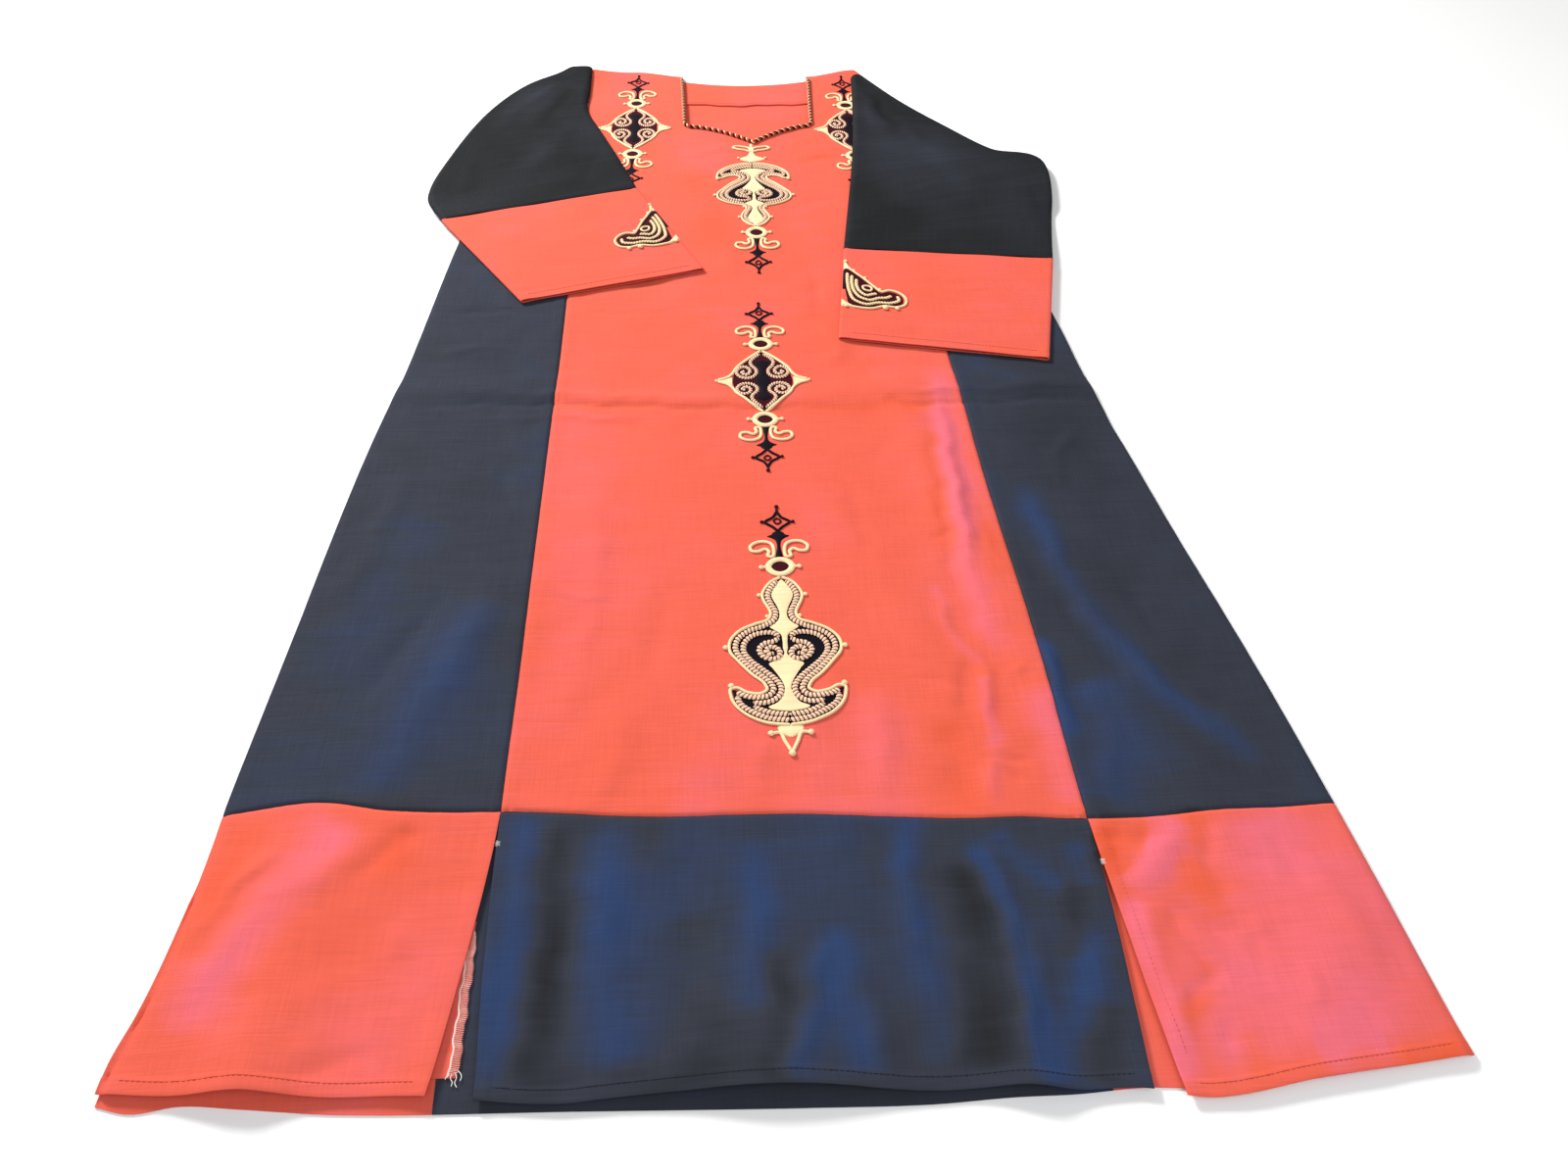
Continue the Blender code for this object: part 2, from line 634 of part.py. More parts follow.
def make_neck_cord():
    """The twisted cord round the front neck, as a plain tube on the panel's edge."""
    side_steps, point_steps = 10, 12
    rise = np.linspace(CORD_RISE, 0.0, side_steps)
    left = np.column_stack([NECK_LEFT - CORD_SET_IN - rise * NECK_FLARE, NECK_CORNER_UP + rise])
    right = np.column_stack([NECK_RIGHT + CORD_SET_IN + rise * NECK_FLARE, NECK_CORNER_UP + rise])[::-1]
    share = np.linspace(-1.0, 1.0, 2 * point_steps + 1)[1:-1]
    half = np.where(share < 0.0, NECK_POINT - NECK_LEFT, NECK_RIGHT - NECK_POINT)
    drop = NECK_DROP * (1.0 - np.abs(share)) ** NECK_CURVE
    point = np.column_stack([NECK_POINT + half * share, NECK_CORNER_UP - CORD_SET_IN - drop])
    corners = left[-1] - (0.0, CORD_SET_IN), right[0] - (0.0, CORD_SET_IN)
    route = np.concatenate([left[:-1], corners[:1], point, corners[1:], right[1:]])
    height = front_height(route[:, 0], route[:, 1]) + CORD_RADIUS + LIE_GAP
    curve = bpy.data.curves.new("neck_cord", "CURVE")
    curve.dimensions = "3D"
    curve.bevel_depth = CORD_RADIUS
    curve.bevel_resolution = 2
    curve.use_fill_caps = True
    spline = curve.splines.new("POLY")
    spline.points.add(len(route) - 1)
    for item, place in zip(spline.points, points_at(route[:, 0], route[:, 1], height)):
        item.co = (*place, 1.0)
    curve.materials.append(material(CORD))
    made = bpy.data.objects.new("neck_cord", curve)
    bpy.context.scene.collection.objects.link(made)
    return made


def make_medallion(name, table, middle, top_end, way):
    """An embroidered medallion's ground: a thin plate of its outline, laid on the front."""
    table = np.array(table)
    share = np.array([-1.0, -0.4, 0.0, 0.4, 1.0])
    across = middle + table[:, 1][:, None] * share
    up = np.repeat((top_end - way * table[:, 0])[:, None], len(share), axis=1)
    bottom = front_height(across, up) + MEDALLION_LIFT
    outer, inner = (points_at(across, up, bottom + lift) for lift in (MEDALLION_THICK, 0.0))
    return wall(name, outer, inner, CREAM)


clear()
make_front_panel()
make_front_side("front_side_left", seam_left, side_left, -1.0)
make_front_side("front_side_right", seam_right, side_right, 1.0)
make_front_band()
make_side_band("front_band_left", seam_left, side_left, -1.0, LEFT_SLIT)
make_side_band("front_band_right", seam_right, side_right, 1.0, RIGHT_SLIT)
make_back()
make_neck_facing()
make_hidden_layers("sleeve_left_under", LEFT_UNDER)
make_hidden_layers("sleeve_right_under", RIGHT_UNDER)
make_sleeve("sleeve_left", LEFT_SLEEVE)
make_sleeve("sleeve_right", RIGHT_SLEEVE)
make_cuff("cuff_left", LEFT_CUFF, 1.0)
make_cuff("cuff_left_under", LEFT_CUFF, -1.0)
make_cuff("cuff_right", RIGHT_CUFF, 1.0)
make_cuff("cuff_right_under", RIGHT_CUFF, -1.0)
make_neck_cord()
for medallion in MEDALLIONS:
    make_medallion(*medallion)
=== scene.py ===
import math

import bpy
import numpy as np
from mathutils import Matrix, Vector


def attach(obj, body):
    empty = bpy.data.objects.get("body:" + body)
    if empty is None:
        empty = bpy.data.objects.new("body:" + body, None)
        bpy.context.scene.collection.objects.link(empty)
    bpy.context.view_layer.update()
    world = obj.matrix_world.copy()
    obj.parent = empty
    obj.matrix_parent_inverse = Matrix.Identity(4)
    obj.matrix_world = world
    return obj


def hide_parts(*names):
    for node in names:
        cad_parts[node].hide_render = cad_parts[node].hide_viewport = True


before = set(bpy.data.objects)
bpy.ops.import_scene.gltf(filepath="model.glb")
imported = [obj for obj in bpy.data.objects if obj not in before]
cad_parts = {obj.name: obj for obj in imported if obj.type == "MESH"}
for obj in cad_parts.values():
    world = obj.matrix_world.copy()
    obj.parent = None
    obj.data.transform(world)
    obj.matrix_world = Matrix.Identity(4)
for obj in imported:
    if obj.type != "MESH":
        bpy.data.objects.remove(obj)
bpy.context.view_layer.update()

# Front middle panel
# A straight length of coral cotton from the hem band to the shoulders, with a square neck that dips
# to a point. Its two colours of yarn turn it pink where it slopes; that pink sheen, and darker shade in
# its creases, are painted into its colour. It lies in the long soft folds and the short creases of
# cloth that was stored folded. Seams join it to the navy sides.
MM = 0.001
MIDDLE_ACROSS, MIDDLE_UP = -0.0070, 0.6843
CLOTH, PINCH = 0.0012, 0.3
SEAM_GAP = 0.0003
FRONT_HEIGHT = 0.0045
FOLD_FOOT = 0.0019
BAND_UP = 0.18
SHOULDER_UP = 1.365
SHOULDER_LIFT, SHOULDER_LIFT_FROM, SHOULDER_LIFT_WIDTH = 0.016, 0.080, 0.07
SHOULDER_ROLL = 0.012
NECK_CORNER_UP = 1.212
NECK_DROP, NECK_CURVE = 0.044, 1.65
NECK_LEFT, NECK_POINT, NECK_RIGHT, NECK_FLARE = -0.082, 0.002, 0.075, 0.035
RIGHT_FOLD_START, RIGHT_FOLD_SLOPE, RIGHT_FOLD_CURVE = 0.148, 1.6, 10.0
CREASE_STRENGTH, WAVES, RIPPLES = 1.7, 0.00030, 0.00012
PUCKER, PUCKER_REACH = 0.00014, 0.008
SEAM_RIDGE, SEAM_VALLEY, SEAM_VALLEY_HALF = 0.00030, 0.00075, 0.0016
PATCH_FADE = 0.12
CELL, EDGE_CELL, EDGE_REACH = 0.0036, 0.0012, 0.006
LINE_STEP = 0.012
YARN = 0.00055
STRAP_WIDTH, MIDDLE_POINTS = 0.12, 23

# Tables of stations, rises, creases, and painted sheen and shade are in millimetres, here and in the sections
# below.
# Up from the hem line: left side fold, left seam, right seam, right side fold
BODY_STATIONS = MM * np.array(
    [
        (-20, -408, -193, 197, 397),
        (15, -406, -194, 198, 392),
        (45, -399, -196, 199, 389),
        (110, -390, -199, 201, 383),
        (200, -386, -200, 199, 374),
        (330, -379, -200, 196, 359),
        (460, -372, -201, 191, 341),
        (580, -364, -202, 187, 326),
        (635, -359, -202, 186, 319),
        (655, -357, -202, 185, 318),
        (700, -351, -202, 183, 312),
        (780, -345, -203, 183, 306),
        (920, -336, -206, 190, 292),
        (1110, -320, -208, 199, 274),
        (1362, -304, -213, 205, 262),
    ]
)
# Across: front hem, back hem, seam of the hem band, all up from the hem line
HEM_STATIONS = MM * np.array(
    [
        (-408, 16, 10, 197),
        (-388, 14, 5, 199),
        (-360, 12, 8, 203),
        (-325, 12, 5, 206),
        (-275, 8, 0, 197),
        (-235, 7, -2, 195),
        (-194, 3, -3, 195),
        (-145, -1, -4, 191),
        (-110, 1, -5, 188),
        (0, 2, -8, 186),
        (70, -3, -9, 181),
        (120, -3, -7, 178),
        (150, -6, -7, 178),
        (197, -7, -5, 174),
        (218, -12, -6, 174),
        (300, -5, -1, 177),
        (397, 5, 8, 182),
    ]
)
# Soft rises of the front: across, up, half length, half width, turn in degrees, height
RISES = (
    (-326, 20, 70, 30, 90, 8),
    (-215, 20, 60, 18, 90, 2.5),
    (-20, 10, 60, 60, 90, 8),
    (130, 0, 50, 22, 90, 6),
    (330, 60, 90, 30, 60, 3),
    (-300, 150, 120, 40, 50, 3.5),
    (260, 250, 200, 28, 115, 4),
    (165, 420, 220, 20, 100, 3.5),
    (110, 330, 160, 22, 112, 3),
    (-250, 330, 200, 40, 60, 3),
    (110, 660, 100, 18, 8, 2.5),
    (-280, 668, 90, 16, 4, 2.8),
    (265, 662, 60, 14, 172, 3.5),
    (-50, 640, 160, 14, 0, 1.6),
    (110, 960, 80, 30, 40, 1.6),
    (-217, 1376, 26, 50, 60, 6),
    (146, 1380, 26, 50, 110, 4),
)
# Creases of the front, ridges above nought and troughs below: height, half width, places along it
FRONT_CREASES = (
    # The long fold down the right of the middle panel
    (1.6, 7, (166, 700), (161, 578), (159, 484), (156, 420), (158, 372), (171, 326), (186, 316)),
    (-0.9, 6, (147, 600), (146, 500), (143, 430), (146, 365)),
    (1.2, 5, (124, 400), (133, 342), (151, 308), (147, 267), (144, 232)),
    (-0.8, 6, (140, 330), (133, 290), (132, 245)),
    (-0.8, 4, (109, 645), (127, 634), (145, 622)),
    (-0.6, 3, (127, 449), (150, 462)),
    (-0.7, 3.5, (99, 299), (122, 294), (147, 290)),
    (0.6, 3, (165, 298), (188, 312)),
    (-0.9, 2.2, (130, 229), (152, 226), (175, 222)),
    (-0.8, 2.2, (142, 220), (169, 204)),
    (0.5, 3, (128, 520), (136, 484), (149, 442)),
    (0.4, 2.6, (170, 465), (178, 430), (191, 400)),
    (1.2, 11, (68, 300), (66, 240), (61, 184)),
    (-0.9, 11, (105, 262), (121, 222), (115, 184)),
    (1, 6, (146, 240), (140, 210), (136, 184)),
    (0.6, 9, (-20, 260), (-24, 186)),
    (0.8, 12, (-120, 290), (-128, 190)),
    (-0.6, 10, (-90, 420), (-102, 300)),
    (0.6, 10, (-160, 560), (-148, 400), (-166, 250)),
    (-0.5, 8, (60, 560), (72, 470), (69, 380)),
    (0.6, 9, (40, 330), (20, 240)),
    (0.6, 4, (-196, 420), (-176, 398), (-140, 392)),
    (-0.5, 3, (-198, 520), (-170, 512)),
    # Where the robe was folded across for storing
    (-1.2, 3.2, (-362, 640), (-279, 643), (-191, 641), (-78, 633), (14, 629), (107, 631)),
    (-1.2, 3, (98, 632), (201, 635), (259, 638), (322, 641)),
    (0.9, 6, (-350, 656), (-279, 658), (-191, 655), (-78, 648), (60, 644)),
    (1, 5.5, (100, 650), (180, 654), (250, 655), (312, 656)),
    (0.7, 5, (-280, 622), (-180, 622), (-90, 617)),
    (-0.7, 4, (-342, 800), (-276, 799), (-206, 796)),
    (-0.5, 4, (-196, 797), (-120, 792), (-70, 796)),
    (0.5, 6, (196, 690), (240, 684), (300, 690)),
    # Soft creases round the neck and down the upper front
    (-0.7, 7, (52, 1112), (84, 1128), (120, 1122)),
    (-0.6, 6, (50, 1010), (78, 1026), (104, 1020)),
    (0.5, 8, (-90, 1130), (-40, 1150), (-14, 1160)),
    (-0.5, 5, (-82, 1070), (-40, 1078)),
    (0.6, 10, (-60, 960), (-30, 900), (-34, 840)),
    (-0.6, 7, (46, 900), (60, 840), (52, 770)),
    (0.8, 10, (64, 780), (72, 730), (70, 690)),
    (-0.8, 7, (-150, 850), (-118, 846), (-90, 852)),
    (0.5, 7, (-180, 1330), (-150, 1318), (-110, 1322)),
    (-0.4, 6, (92, 1250), (116, 1262), (130, 1290)),
    # The navy sides
    (1.6, 10, (224, 520), (231, 440), (240, 377), (275, 297), (342, 204)),
    (1.2, 5, (199, 336), (203, 290), (204, 245)),
    (-1, 10, (222, 400), (240, 330), (262, 280)),
    (-0.8, 9, (270, 440), (290, 360), (330, 290)),
    (0.8, 9, (222, 300), (232, 250), (214, 182)),
    (1.2, 14, (-228, 420), (-244, 341), (-266, 279), (-292, 206)),
    (-0.9, 11, (-262, 420), (-296, 330), (-330, 262)),
    (0.7, 10, (-320, 560), (-332, 470), (-352, 380)),
    (-0.6, 7, (-240, 560), (-232, 500)),
    (0.6, 6, (-330, 720), (-290, 735), (-240, 728)),
    (0.6, 8, (-300, 900), (-270, 860), (-260, 800)),
    (0.7, 7, (290, 600), (262, 560), (250, 500)),
    # The navy middle of the hem band
    (1.2, 12, (-186, 190), (-178, 130), (-176, 90)),
    (1.4, 13, (-128, 180), (-122, 84), (-109, 12)),
    (1, 10, (-27, 130), (-30, 85), (-32, 45)),
    (1.2, 8, (14, 100), (3, 48), (-14, 0)),
    (1.2, 8, (18, 100), (37, 46), (50, 0)),
    (1, 8, (78, 176), (69, 106), (83, 34)),
    (1.4, 6, (128, 170), (134, 122), (131, 40), (127, -4)),
    (0.9, 7, (150, 106), (146, 70), (135, 35)),
    (0.9, 9, (188, 84), (176, 28)),
    (-1, 11, (-158, 146), (-150, 80), (-142, 10)),
    (-0.9, 13, (-76, 176), (-70, 100), (-74, 12)),
    (-0.9, 8, (106, 80), (102, 40), (98, 4)),
    (-0.6, 9, (44, 176), (46, 130), (60, 80)),
    # The right side of the hem band, with a fan of creases from its slit
    (1.2, 10, (262, 172), (247, 146), (228, 131), (217, 112)),
    (1.4, 8, (217, 120), (221, 90), (222, 60), (223, 0)),
    (-1, 3.5, (233, 112), (243, 84), (254, 63), (262, 56)),
    (-0.7, 3, (238, 108), (256, 94), (270, 81), (279, 67)),
    (-0.6, 2.8, (236, 113), (254, 94), (286, 87)),
    (-0.7, 3.2, (258, 60), (276, 46), (298, 18)),
    (-0.7, 3.5, (224, 38), (240, 50), (266, 65)),
    (-0.8, 8, (206, 166), (224, 160), (245, 152)),
    (-0.7, 6, (208, 152), (226, 132)),
    (-0.6, 5, (251, 34), (252, 10)),
    (0.7, 7, (286, 172), (288, 154), (306, 142)),
    (-0.7, 5, (282, 174), (276, 140), (275, 100)),
    (0.6, 6, (294, 106), (291, 84), (302, 62)),
    (-0.7, 3, (323, 51), (335, 35), (348, 22)),
    (-0.6, 4.5, (290, 93), (288, 64)),
    (0.6, 5, (314, 66), (308, 34)),
    (0.6, 8, (340, 150), (346, 110), (364, 60)),
    (-0.5, 6, (322, 160), (330, 110)),
    # The left side of the hem band
    (1.1, 6, (-334, 174), (-355, 154), (-371, 126), (-384, 100)),
    (1, 12, (-294, 182), (-303, 156), (-335, 134), (-357, 104), (-365, 74), (-380, 56)),
    (-0.8, 9, (-252, 184), (-280, 156), (-291, 128)),
    (-0.6, 4, (-267, 182), (-251, 168)),
    (-0.6, 6, (-248, 31), (-276, 26), (-310, 25)),
    (0.5, 7, (-258, 116), (-249, 86)),
    (0.6, 10, (-300, 90), (-292, 40), (-300, 12)),
    (-0.6, 9, (-336, 80), (-342, 40)),
)
# Painted sheen above nought and painted shade below, on ridges and in creases: share, half width, places
FRONT_SHEEN_AND_SHADE = (
    (0.95, 11, (166, 700), (161, 578), (159, 484), (156, 420), (158, 372), (171, 326), (186, 316)),
    (0.30, 16, (170, 690), (168, 560), (170, 440)),
    (0.80, 6, (150, 306), (147, 267), (144, 232)),
    (0.45, 5, (124, 400), (133, 342), (151, 308)),
    (-0.50, 10, (144, 600), (143, 500), (140, 430)),
    (-0.40, 6, (109, 645), (145, 622)),
    (-0.35, 8, (176, 470), (184, 400)),
    (0.50, 26, (66, 300), (64, 230), (60, 170)),
    (0.55, 8, (150, 250), (143, 215), (136, 180)),
    (0.70, 13, (186, 290), (190, 230), (192, 180)),
    (-0.45, 14, (110, 262), (121, 222), (116, 180)),
    (0.25, 40, (-30, 300), (-60, 200)),
    (0.22, 30, (-170, 600), (-168, 420), (-170, 220)),
    (-0.25, 30, (-100, 1100), (-50, 1020), (-60, 900)),
    (-0.30, 10, (52, 1112), (84, 1128), (120, 1122)),
    (-0.35, 8, (-202, 640), (-78, 634), (14, 630), (107, 631), (186, 635)),
    (-0.25, 30, (60, 1000), (90, 960), (85, 900)),
    (-0.30, 20, (56, 800), (82, 720), (100, 680)),
    # Painted blue sheen on the navy, and painted shade below nought
    (0.75, 12, (218, 530), (229, 440), (240, 377), (275, 297), (342, 204)),
    (1.00, 6, (199, 340), (203, 290), (204, 240)),
    (0.55, 20, (228, 300), (236, 240), (216, 180)),
    (0.55, 22, (-230, 400), (-246, 341), (-268, 279), (-292, 200)),
    (0.25, 30, (-290, 500), (-320, 400), (-340, 300)),
    (0.30, 12, (210, 760), (220, 690), (250, 660)),
    (1.00, 14, (-183, 200), (-181, 139), (-182, 93), (-186, 51), (-187, 0)),
    (0.85, 17, (-129, 190), (-123, 137), (-125, 100), (-123, 62), (-108, 8)),
    (0.30, 40, (-95, 190), (-20, 165), (50, 176)),
    (0.32, 60, (-110, 150), (-60, 100), (0, 110), (60, 90), (90, 120)),
    (0.30, 26, (160, 180), (170, 90), (165, 10)),
    (0.80, 13, (-29, 170), (-27, 108), (-29, 78), (-33, 40)),
    (0.80, 11, (23, 104), (14, 57), (0, 30), (-9, 0)),
    (0.95, 13, (18, 90), (24, 50), (34, 0)),
    (0.95, 10, (77, 186), (70, 129), (76, 90)),
    (0.55, 12, (74, 100), (78, 60), (74, 10)),
    (1.10, 8, (118, 166), (130, 117), (138, 80), (137, 43), (136, -8)),
    (0.65, 9, (131, 170), (157, 136), (172, 118)),
    (0.80, 10, (190, 94), (170, 50), (152, 24), (143, -6)),
    (0.60, 8, (186, 160), (190, 120)),
    (-0.75, 13, (-164, 190), (-158, 107), (-159, 58), (-171, 10)),
    (-0.45, 20, (-75, 120), (-64, 54), (-53, 4)),
    (-0.55, 9, (-14, 90), (-22, 0)),
    (-0.75, 16, (108, 150), (112, 81), (102, -2)),
    (-0.60, 10, (176, 130), (172, 70)),
    (-0.55, 12, (184, 45), (168, -6)),
    (-0.40, 10, (-184, 20), (-94, 8), (-18, 12)),
    # Painted pink sheen on the coral sides of the hem band, and painted shade below nought
    (1.35, 15, (260, 174), (244, 145), (232, 134), (215, 118)),
    (1.10, 9, (212, 124), (215, 83), (217, 51), (219, 18), (224, -10)),
    (0.85, 34, (258, 120), (264, 60), (272, 0)),
    (0.95, 40, (318, 184), (326, 90), (338, 0)),
    (0.70, 12, (238, 60), (248, 20), (262, -8)),
    (0.60, 16, (300, 10), (330, 14), (345, 16)),
    (0.45, 22, (366, 150), (386, 50)),
    (-0.95, 14, (200, 164), (216, 158), (238, 154)),
    (-0.95, 10, (204, 150), (214, 132)),
    (-0.70, 8, (273, 180), (267, 146)),
    (-0.60, 11, (258, 140), (268, 94)),
    (-0.75, 8, (256, 70), (240, 44), (222, 30)),
    (-0.55, 8, (262, 24), (260, -6)),
    (-0.90, 8, (350, 0), (372, 6), (396, 12)),
    (0.95, 19, (-300, 200), (-315, 167), (-332, 130), (-350, 99), (-370, 40)),
    (-0.70, 14, (-366, 196), (-374, 140), (-386, 96)),
    (-0.55, 13, (-262, 186), (-270, 136)),
    (0.20, 30, (-232, 150), (-238, 68), (-270, 20)),
)


def smooth_step(share):
    """0 below 0 and 1 above 1, with an S-shaped rise between."""
    share = np.clip(share, 0.0, 1.0)
    return share * share * (3.0 - 2.0 * share)


def along(table, column, where):
    """A table's column read between its rows, on a cubic through them whose slopes are their own trend."""
    keys, values = table[:, 0], table[:, column]
    slopes = np.gradient(values, keys)
    where = np.clip(where, keys[0], keys[-1])
    row = np.clip(np.searchsorted(keys, where) - 1, 0, len(keys) - 2)
    span = keys[row + 1] - keys[row]
    t = (where - keys[row]) / span
    rise = values[row + 1] - values[row]
    bend = slopes[row] * (t**3 - 2 * t**2 + t) + slopes[row + 1] * (t**3 - t**2)
    return values[row] + rise * (3 * t**2 - 2 * t**3) + span * bend


def seam_left(up):
    """Across of the seam on the left of the middle panel, read from the body's table."""
    return along(BODY_STATIONS, 2, up)


def seam_right(up):
    """Across of the seam on the right of the middle panel, read from the body's table."""
    return along(BODY_STATIONS, 3, up)


def band_seam(across):
    """How far up the seam over the hem band lies, read from the hem's table."""
    return along(HEM_STATIONS, 3, across)


def shoulder_up(across):
    """The shoulder line, lifted towards the sleeves and cut away under the right one."""
    folded = np.maximum(0.0, across - RIGHT_FOLD_START)
    lift = SHOULDER_LIFT * smooth_step((np.abs(across) - SHOULDER_LIFT_FROM) / SHOULDER_LIFT_WIDTH)
    return SHOULDER_UP + lift - folded * (RIGHT_FOLD_SLOPE + RIGHT_FOLD_CURVE * folded)


def front_height(across, up):
    """The front's height before its creases: its base height and one soft bump for each rise."""
    height = np.full(np.shape(across), FRONT_HEIGHT)
    for middle, level, length, width, turn, rise in RISES:
        x, y = across / MM - middle, up / MM - level
        c, s = np.cos(np.radians(turn)), np.sin(np.radians(turn))
        run, off = (x * c + y * s) / length, (y * c - x * s) / width
        height = height + MM * rise * np.exp(-(run**2) - off**2)
    return height


def curve(points, step, closed=False):
    """Places every step along a smooth curve through the points, a cubic between each two of them."""
    points = np.array(points, float)
    if closed:
        points = np.concatenate([points[-2:], points, points[:3]])
    keys = np.concatenate([[0.0], np.cumsum(np.hypot(*np.diff(points, axis=0).T))])
    table = np.column_stack([keys, points])
    start, end = (keys[2], keys[-3]) if closed else (keys[0], keys[-1])
    where = np.linspace(start, end, max(3, int(round((end - start) / step)) + 1))
    return np.column_stack([along(table, 1, where), along(table, 2, where)])


def drawn_lines(across, up, table, fade=0.3):
    """The sum of soft lines, in the unit of the table's strengths: each falls away as a bell on both sides of
    its route, and over the share fade at its ends."""
    total = np.zeros(np.shape(across))
    for strength, width, *route in table:
        width, route = MM * width, curve(MM * np.array(route), LINE_STEP)
        low, high = route.min(axis=0) - 3.0 * width, route.max(axis=0) + 3.0 * width
        near = (across > low[0]) & (across < high[0]) & (up > low[1]) & (up < high[1])
        if not near.any():
            continue
        x, y = across[near], up[near]
        best, share = np.full(x.shape, 9.0), np.zeros(x.shape)
        stretches = len(route) - 1
        for number, (start, run) in enumerate(zip(route[:-1], np.diff(route, axis=0))):
            t = np.clip(((x - start[0]) * run[0] + (y - start[1]) * run[1]) / (run @ run), 0.0, 1.0)
            off = np.hypot(x - start[0] - t * run[0], y - start[1] - t * run[1])
            share = np.where(off < best, (number + t) / stretches, share)
            best = np.minimum(best, off)
        ends = smooth_step(share / fade) * smooth_step((1.0 - share) / fade)
        uneven = 1.0 + 0.25 * np.sin(9.0 * share + 60.0 * route[0, 0])
        total[near] += strength * ends * uneven * np.exp(-((best / width) ** 2))
    return total


def wandered(across, up):
    """Places shifted by a few slow waves, so that what is drawn on them wanders as a hand's line does."""
    x = across + 0.0016 * np.sin(up * 92.0 + 1.0) + 0.0010 * np.sin(up * 210.0 + across * 60.0)
    y = up + 0.0018 * np.sin(across * 84.0 + 2.0) + 0.0010 * np.sin(across * 190.0 - up * 50.0)
    return x, y


def seam_relief(off):
    """A seam's profile: a narrow valley, with the turned edges under one side as a low flat ridge."""
    ridge = smooth_step(off / 0.003) * (1.0 - smooth_step((off - 0.009) / 0.004))
    return SEAM_RIDGE * ridge - SEAM_VALLEY * np.exp(-((off / SEAM_VALLEY_HALF) ** 2))


def front_lie(across, up):
    """The finished front's height: rises, creases, slow waves, seams, and small puckers beside the seams."""
    x, y = wandered(across, up)
    height = front_height(across, up) + CREASE_STRENGTH * MM * drawn_lines(x, y, FRONT_CREASES)
    waves = np.sin(x * 70.0 + 3.0 * np.sin(y * 11.0)) * np.sin(y * 26.0 + 2.0 * np.sin(x * 17.0))
    height = height + WAVES * waves + RIPPLES * np.sin(y * 150.0 + 4.0 * np.sin(x * 40.0 + y * 9.0))
    to_seams = np.minimum(np.abs(across - seam_left(up)), np.abs(across - seam_right(up)))
    to_seams = np.where(up < band_seam(across), 0.02, to_seams)
    to_band = np.abs(up - band_seam(across))
    near_seams = np.exp(-((to_seams / PUCKER_REACH) ** 2))
    near_band = np.exp(-((to_band / PUCKER_REACH) ** 2))
    pucker = np.sin(up * 520.0 + 5.0 * np.sin(up * 60.0)) * near_seams
    pucker = pucker + np.sin(across * 480.0 + 4.0 * np.sin(across * 70.0)) * near_band
    return height + PUCKER * pucker + seam_relief(to_seams) + seam_relief(to_band)


def rolled(height, inside, roll):
    """Height brought down to the fold's foot in a quarter round over the last stretch before a fold."""
    share = np.clip(inside / roll, 0.0, 1.0)
    return FOLD_FOOT + (height - FOLD_FOOT) * np.sqrt(1.0 - (1.0 - share) ** 2)


def points_at(across, up, height):
    """A grid of points in the robe's own frame from the cut's measures."""
    return np.stack([across - MIDDLE_ACROSS, up - MIDDLE_UP, height + 0.0 * across], axis=-1)


def normals_of(grid, wrap=False):
    """Unit normals of a grid of points: the cross product of its slopes over columns and over rows."""
    over_columns = np.roll(grid, -1, 1) - np.roll(grid, 1, 1) if wrap else np.gradient(grid, axis=1)
    normal = np.cross(over_columns, np.gradient(grid, axis=0))
    return normal / np.linalg.norm(normal, axis=-1, keepdims=True)


def layered(outer, inner, keep=None, wrap=False):
    """Points and four-sided faces of a closed wall between two grids, over the cells that keep marks."""
    rows, columns = outer.shape[:2]
    number = np.arange(rows * columns).reshape(rows, columns)
    if wrap:
        number = np.concatenate([number, number[:, :1]], axis=1)
    keep = np.ones((number.shape[0] - 1, number.shape[1] - 1), bool) if keep is None else keep
    corners = (number[:-1, :-1], number[:-1, 1:], number[1:, 1:], number[1:, :-1])
    a, b, c, d = (corner[keep] for corner in corners)
    layer = rows * columns
    faces = [np.column_stack([a, b, c, d]), np.column_stack([a, d, c, b]) + layer]
    around = np.pad(keep, 1)
    if wrap:
        around[:, 0], around[:, -1] = around[:, -2], around[:, 1]
    sides = (
        (around[:-2, 1:-1], corners[0], corners[1]),
        (around[2:, 1:-1], corners[2], corners[3]),
        (around[1:-1, :-2], corners[3], corners[0]),
        (around[1:-1, 2:], corners[1], corners[2]),
    )
    for beyond, start, end in sides:
        rim = keep & ~beyond
        p, q = start[rim], end[rim]
        faces.append(np.column_stack([q, p, p + layer, q + layer]))
    points = np.concatenate([outer.reshape(-1, 3), inner.reshape(-1, 3)])
    return points, np.concatenate(faces)


def add_piece(name, points, faces, uv, materials, numbers=None, around=None, **values):
    """One smooth-shaded object from arrays of points and faces, with a weave map and values per point. Where
    the map runs round the piece, a face over its end goes on past the length around."""
    used, place = np.unique(faces, return_inverse=True)
    faces = place.reshape(faces.shape)
    mesh = bpy.data.meshes.new(name)
    mesh.from_pydata(points[used].tolist(), [], faces.tolist())
    layer = mesh.uv_layers.new(name="weave")
    corners = uv[used][faces]
    if around is not None:
        low = corners[..., 0] < corners[..., 0].max(axis=1, keepdims=True) - 0.5 * around
        corners[..., 0] += around * low
    layer.uv.foreach_set("vector", corners.astype(np.float32).ravel())
    for key, value in values.items():
        mesh.attributes.new(key, "FLOAT", "POINT").data.foreach_set("value", value[used].astype(np.float32))
    for item in materials:
        mesh.materials.append(item)
    if numbers is not None:
        mesh.polygons.foreach_set("material_index", numbers.astype(np.int32))
    mesh.shade_smooth()
    mesh.set_sharp_from_angle(angle=math.radians(60))
    mesh.update()
    piece = bpy.data.objects.new(name, mesh)
    bpy.context.scene.collection.objects.link(piece)
    return piece


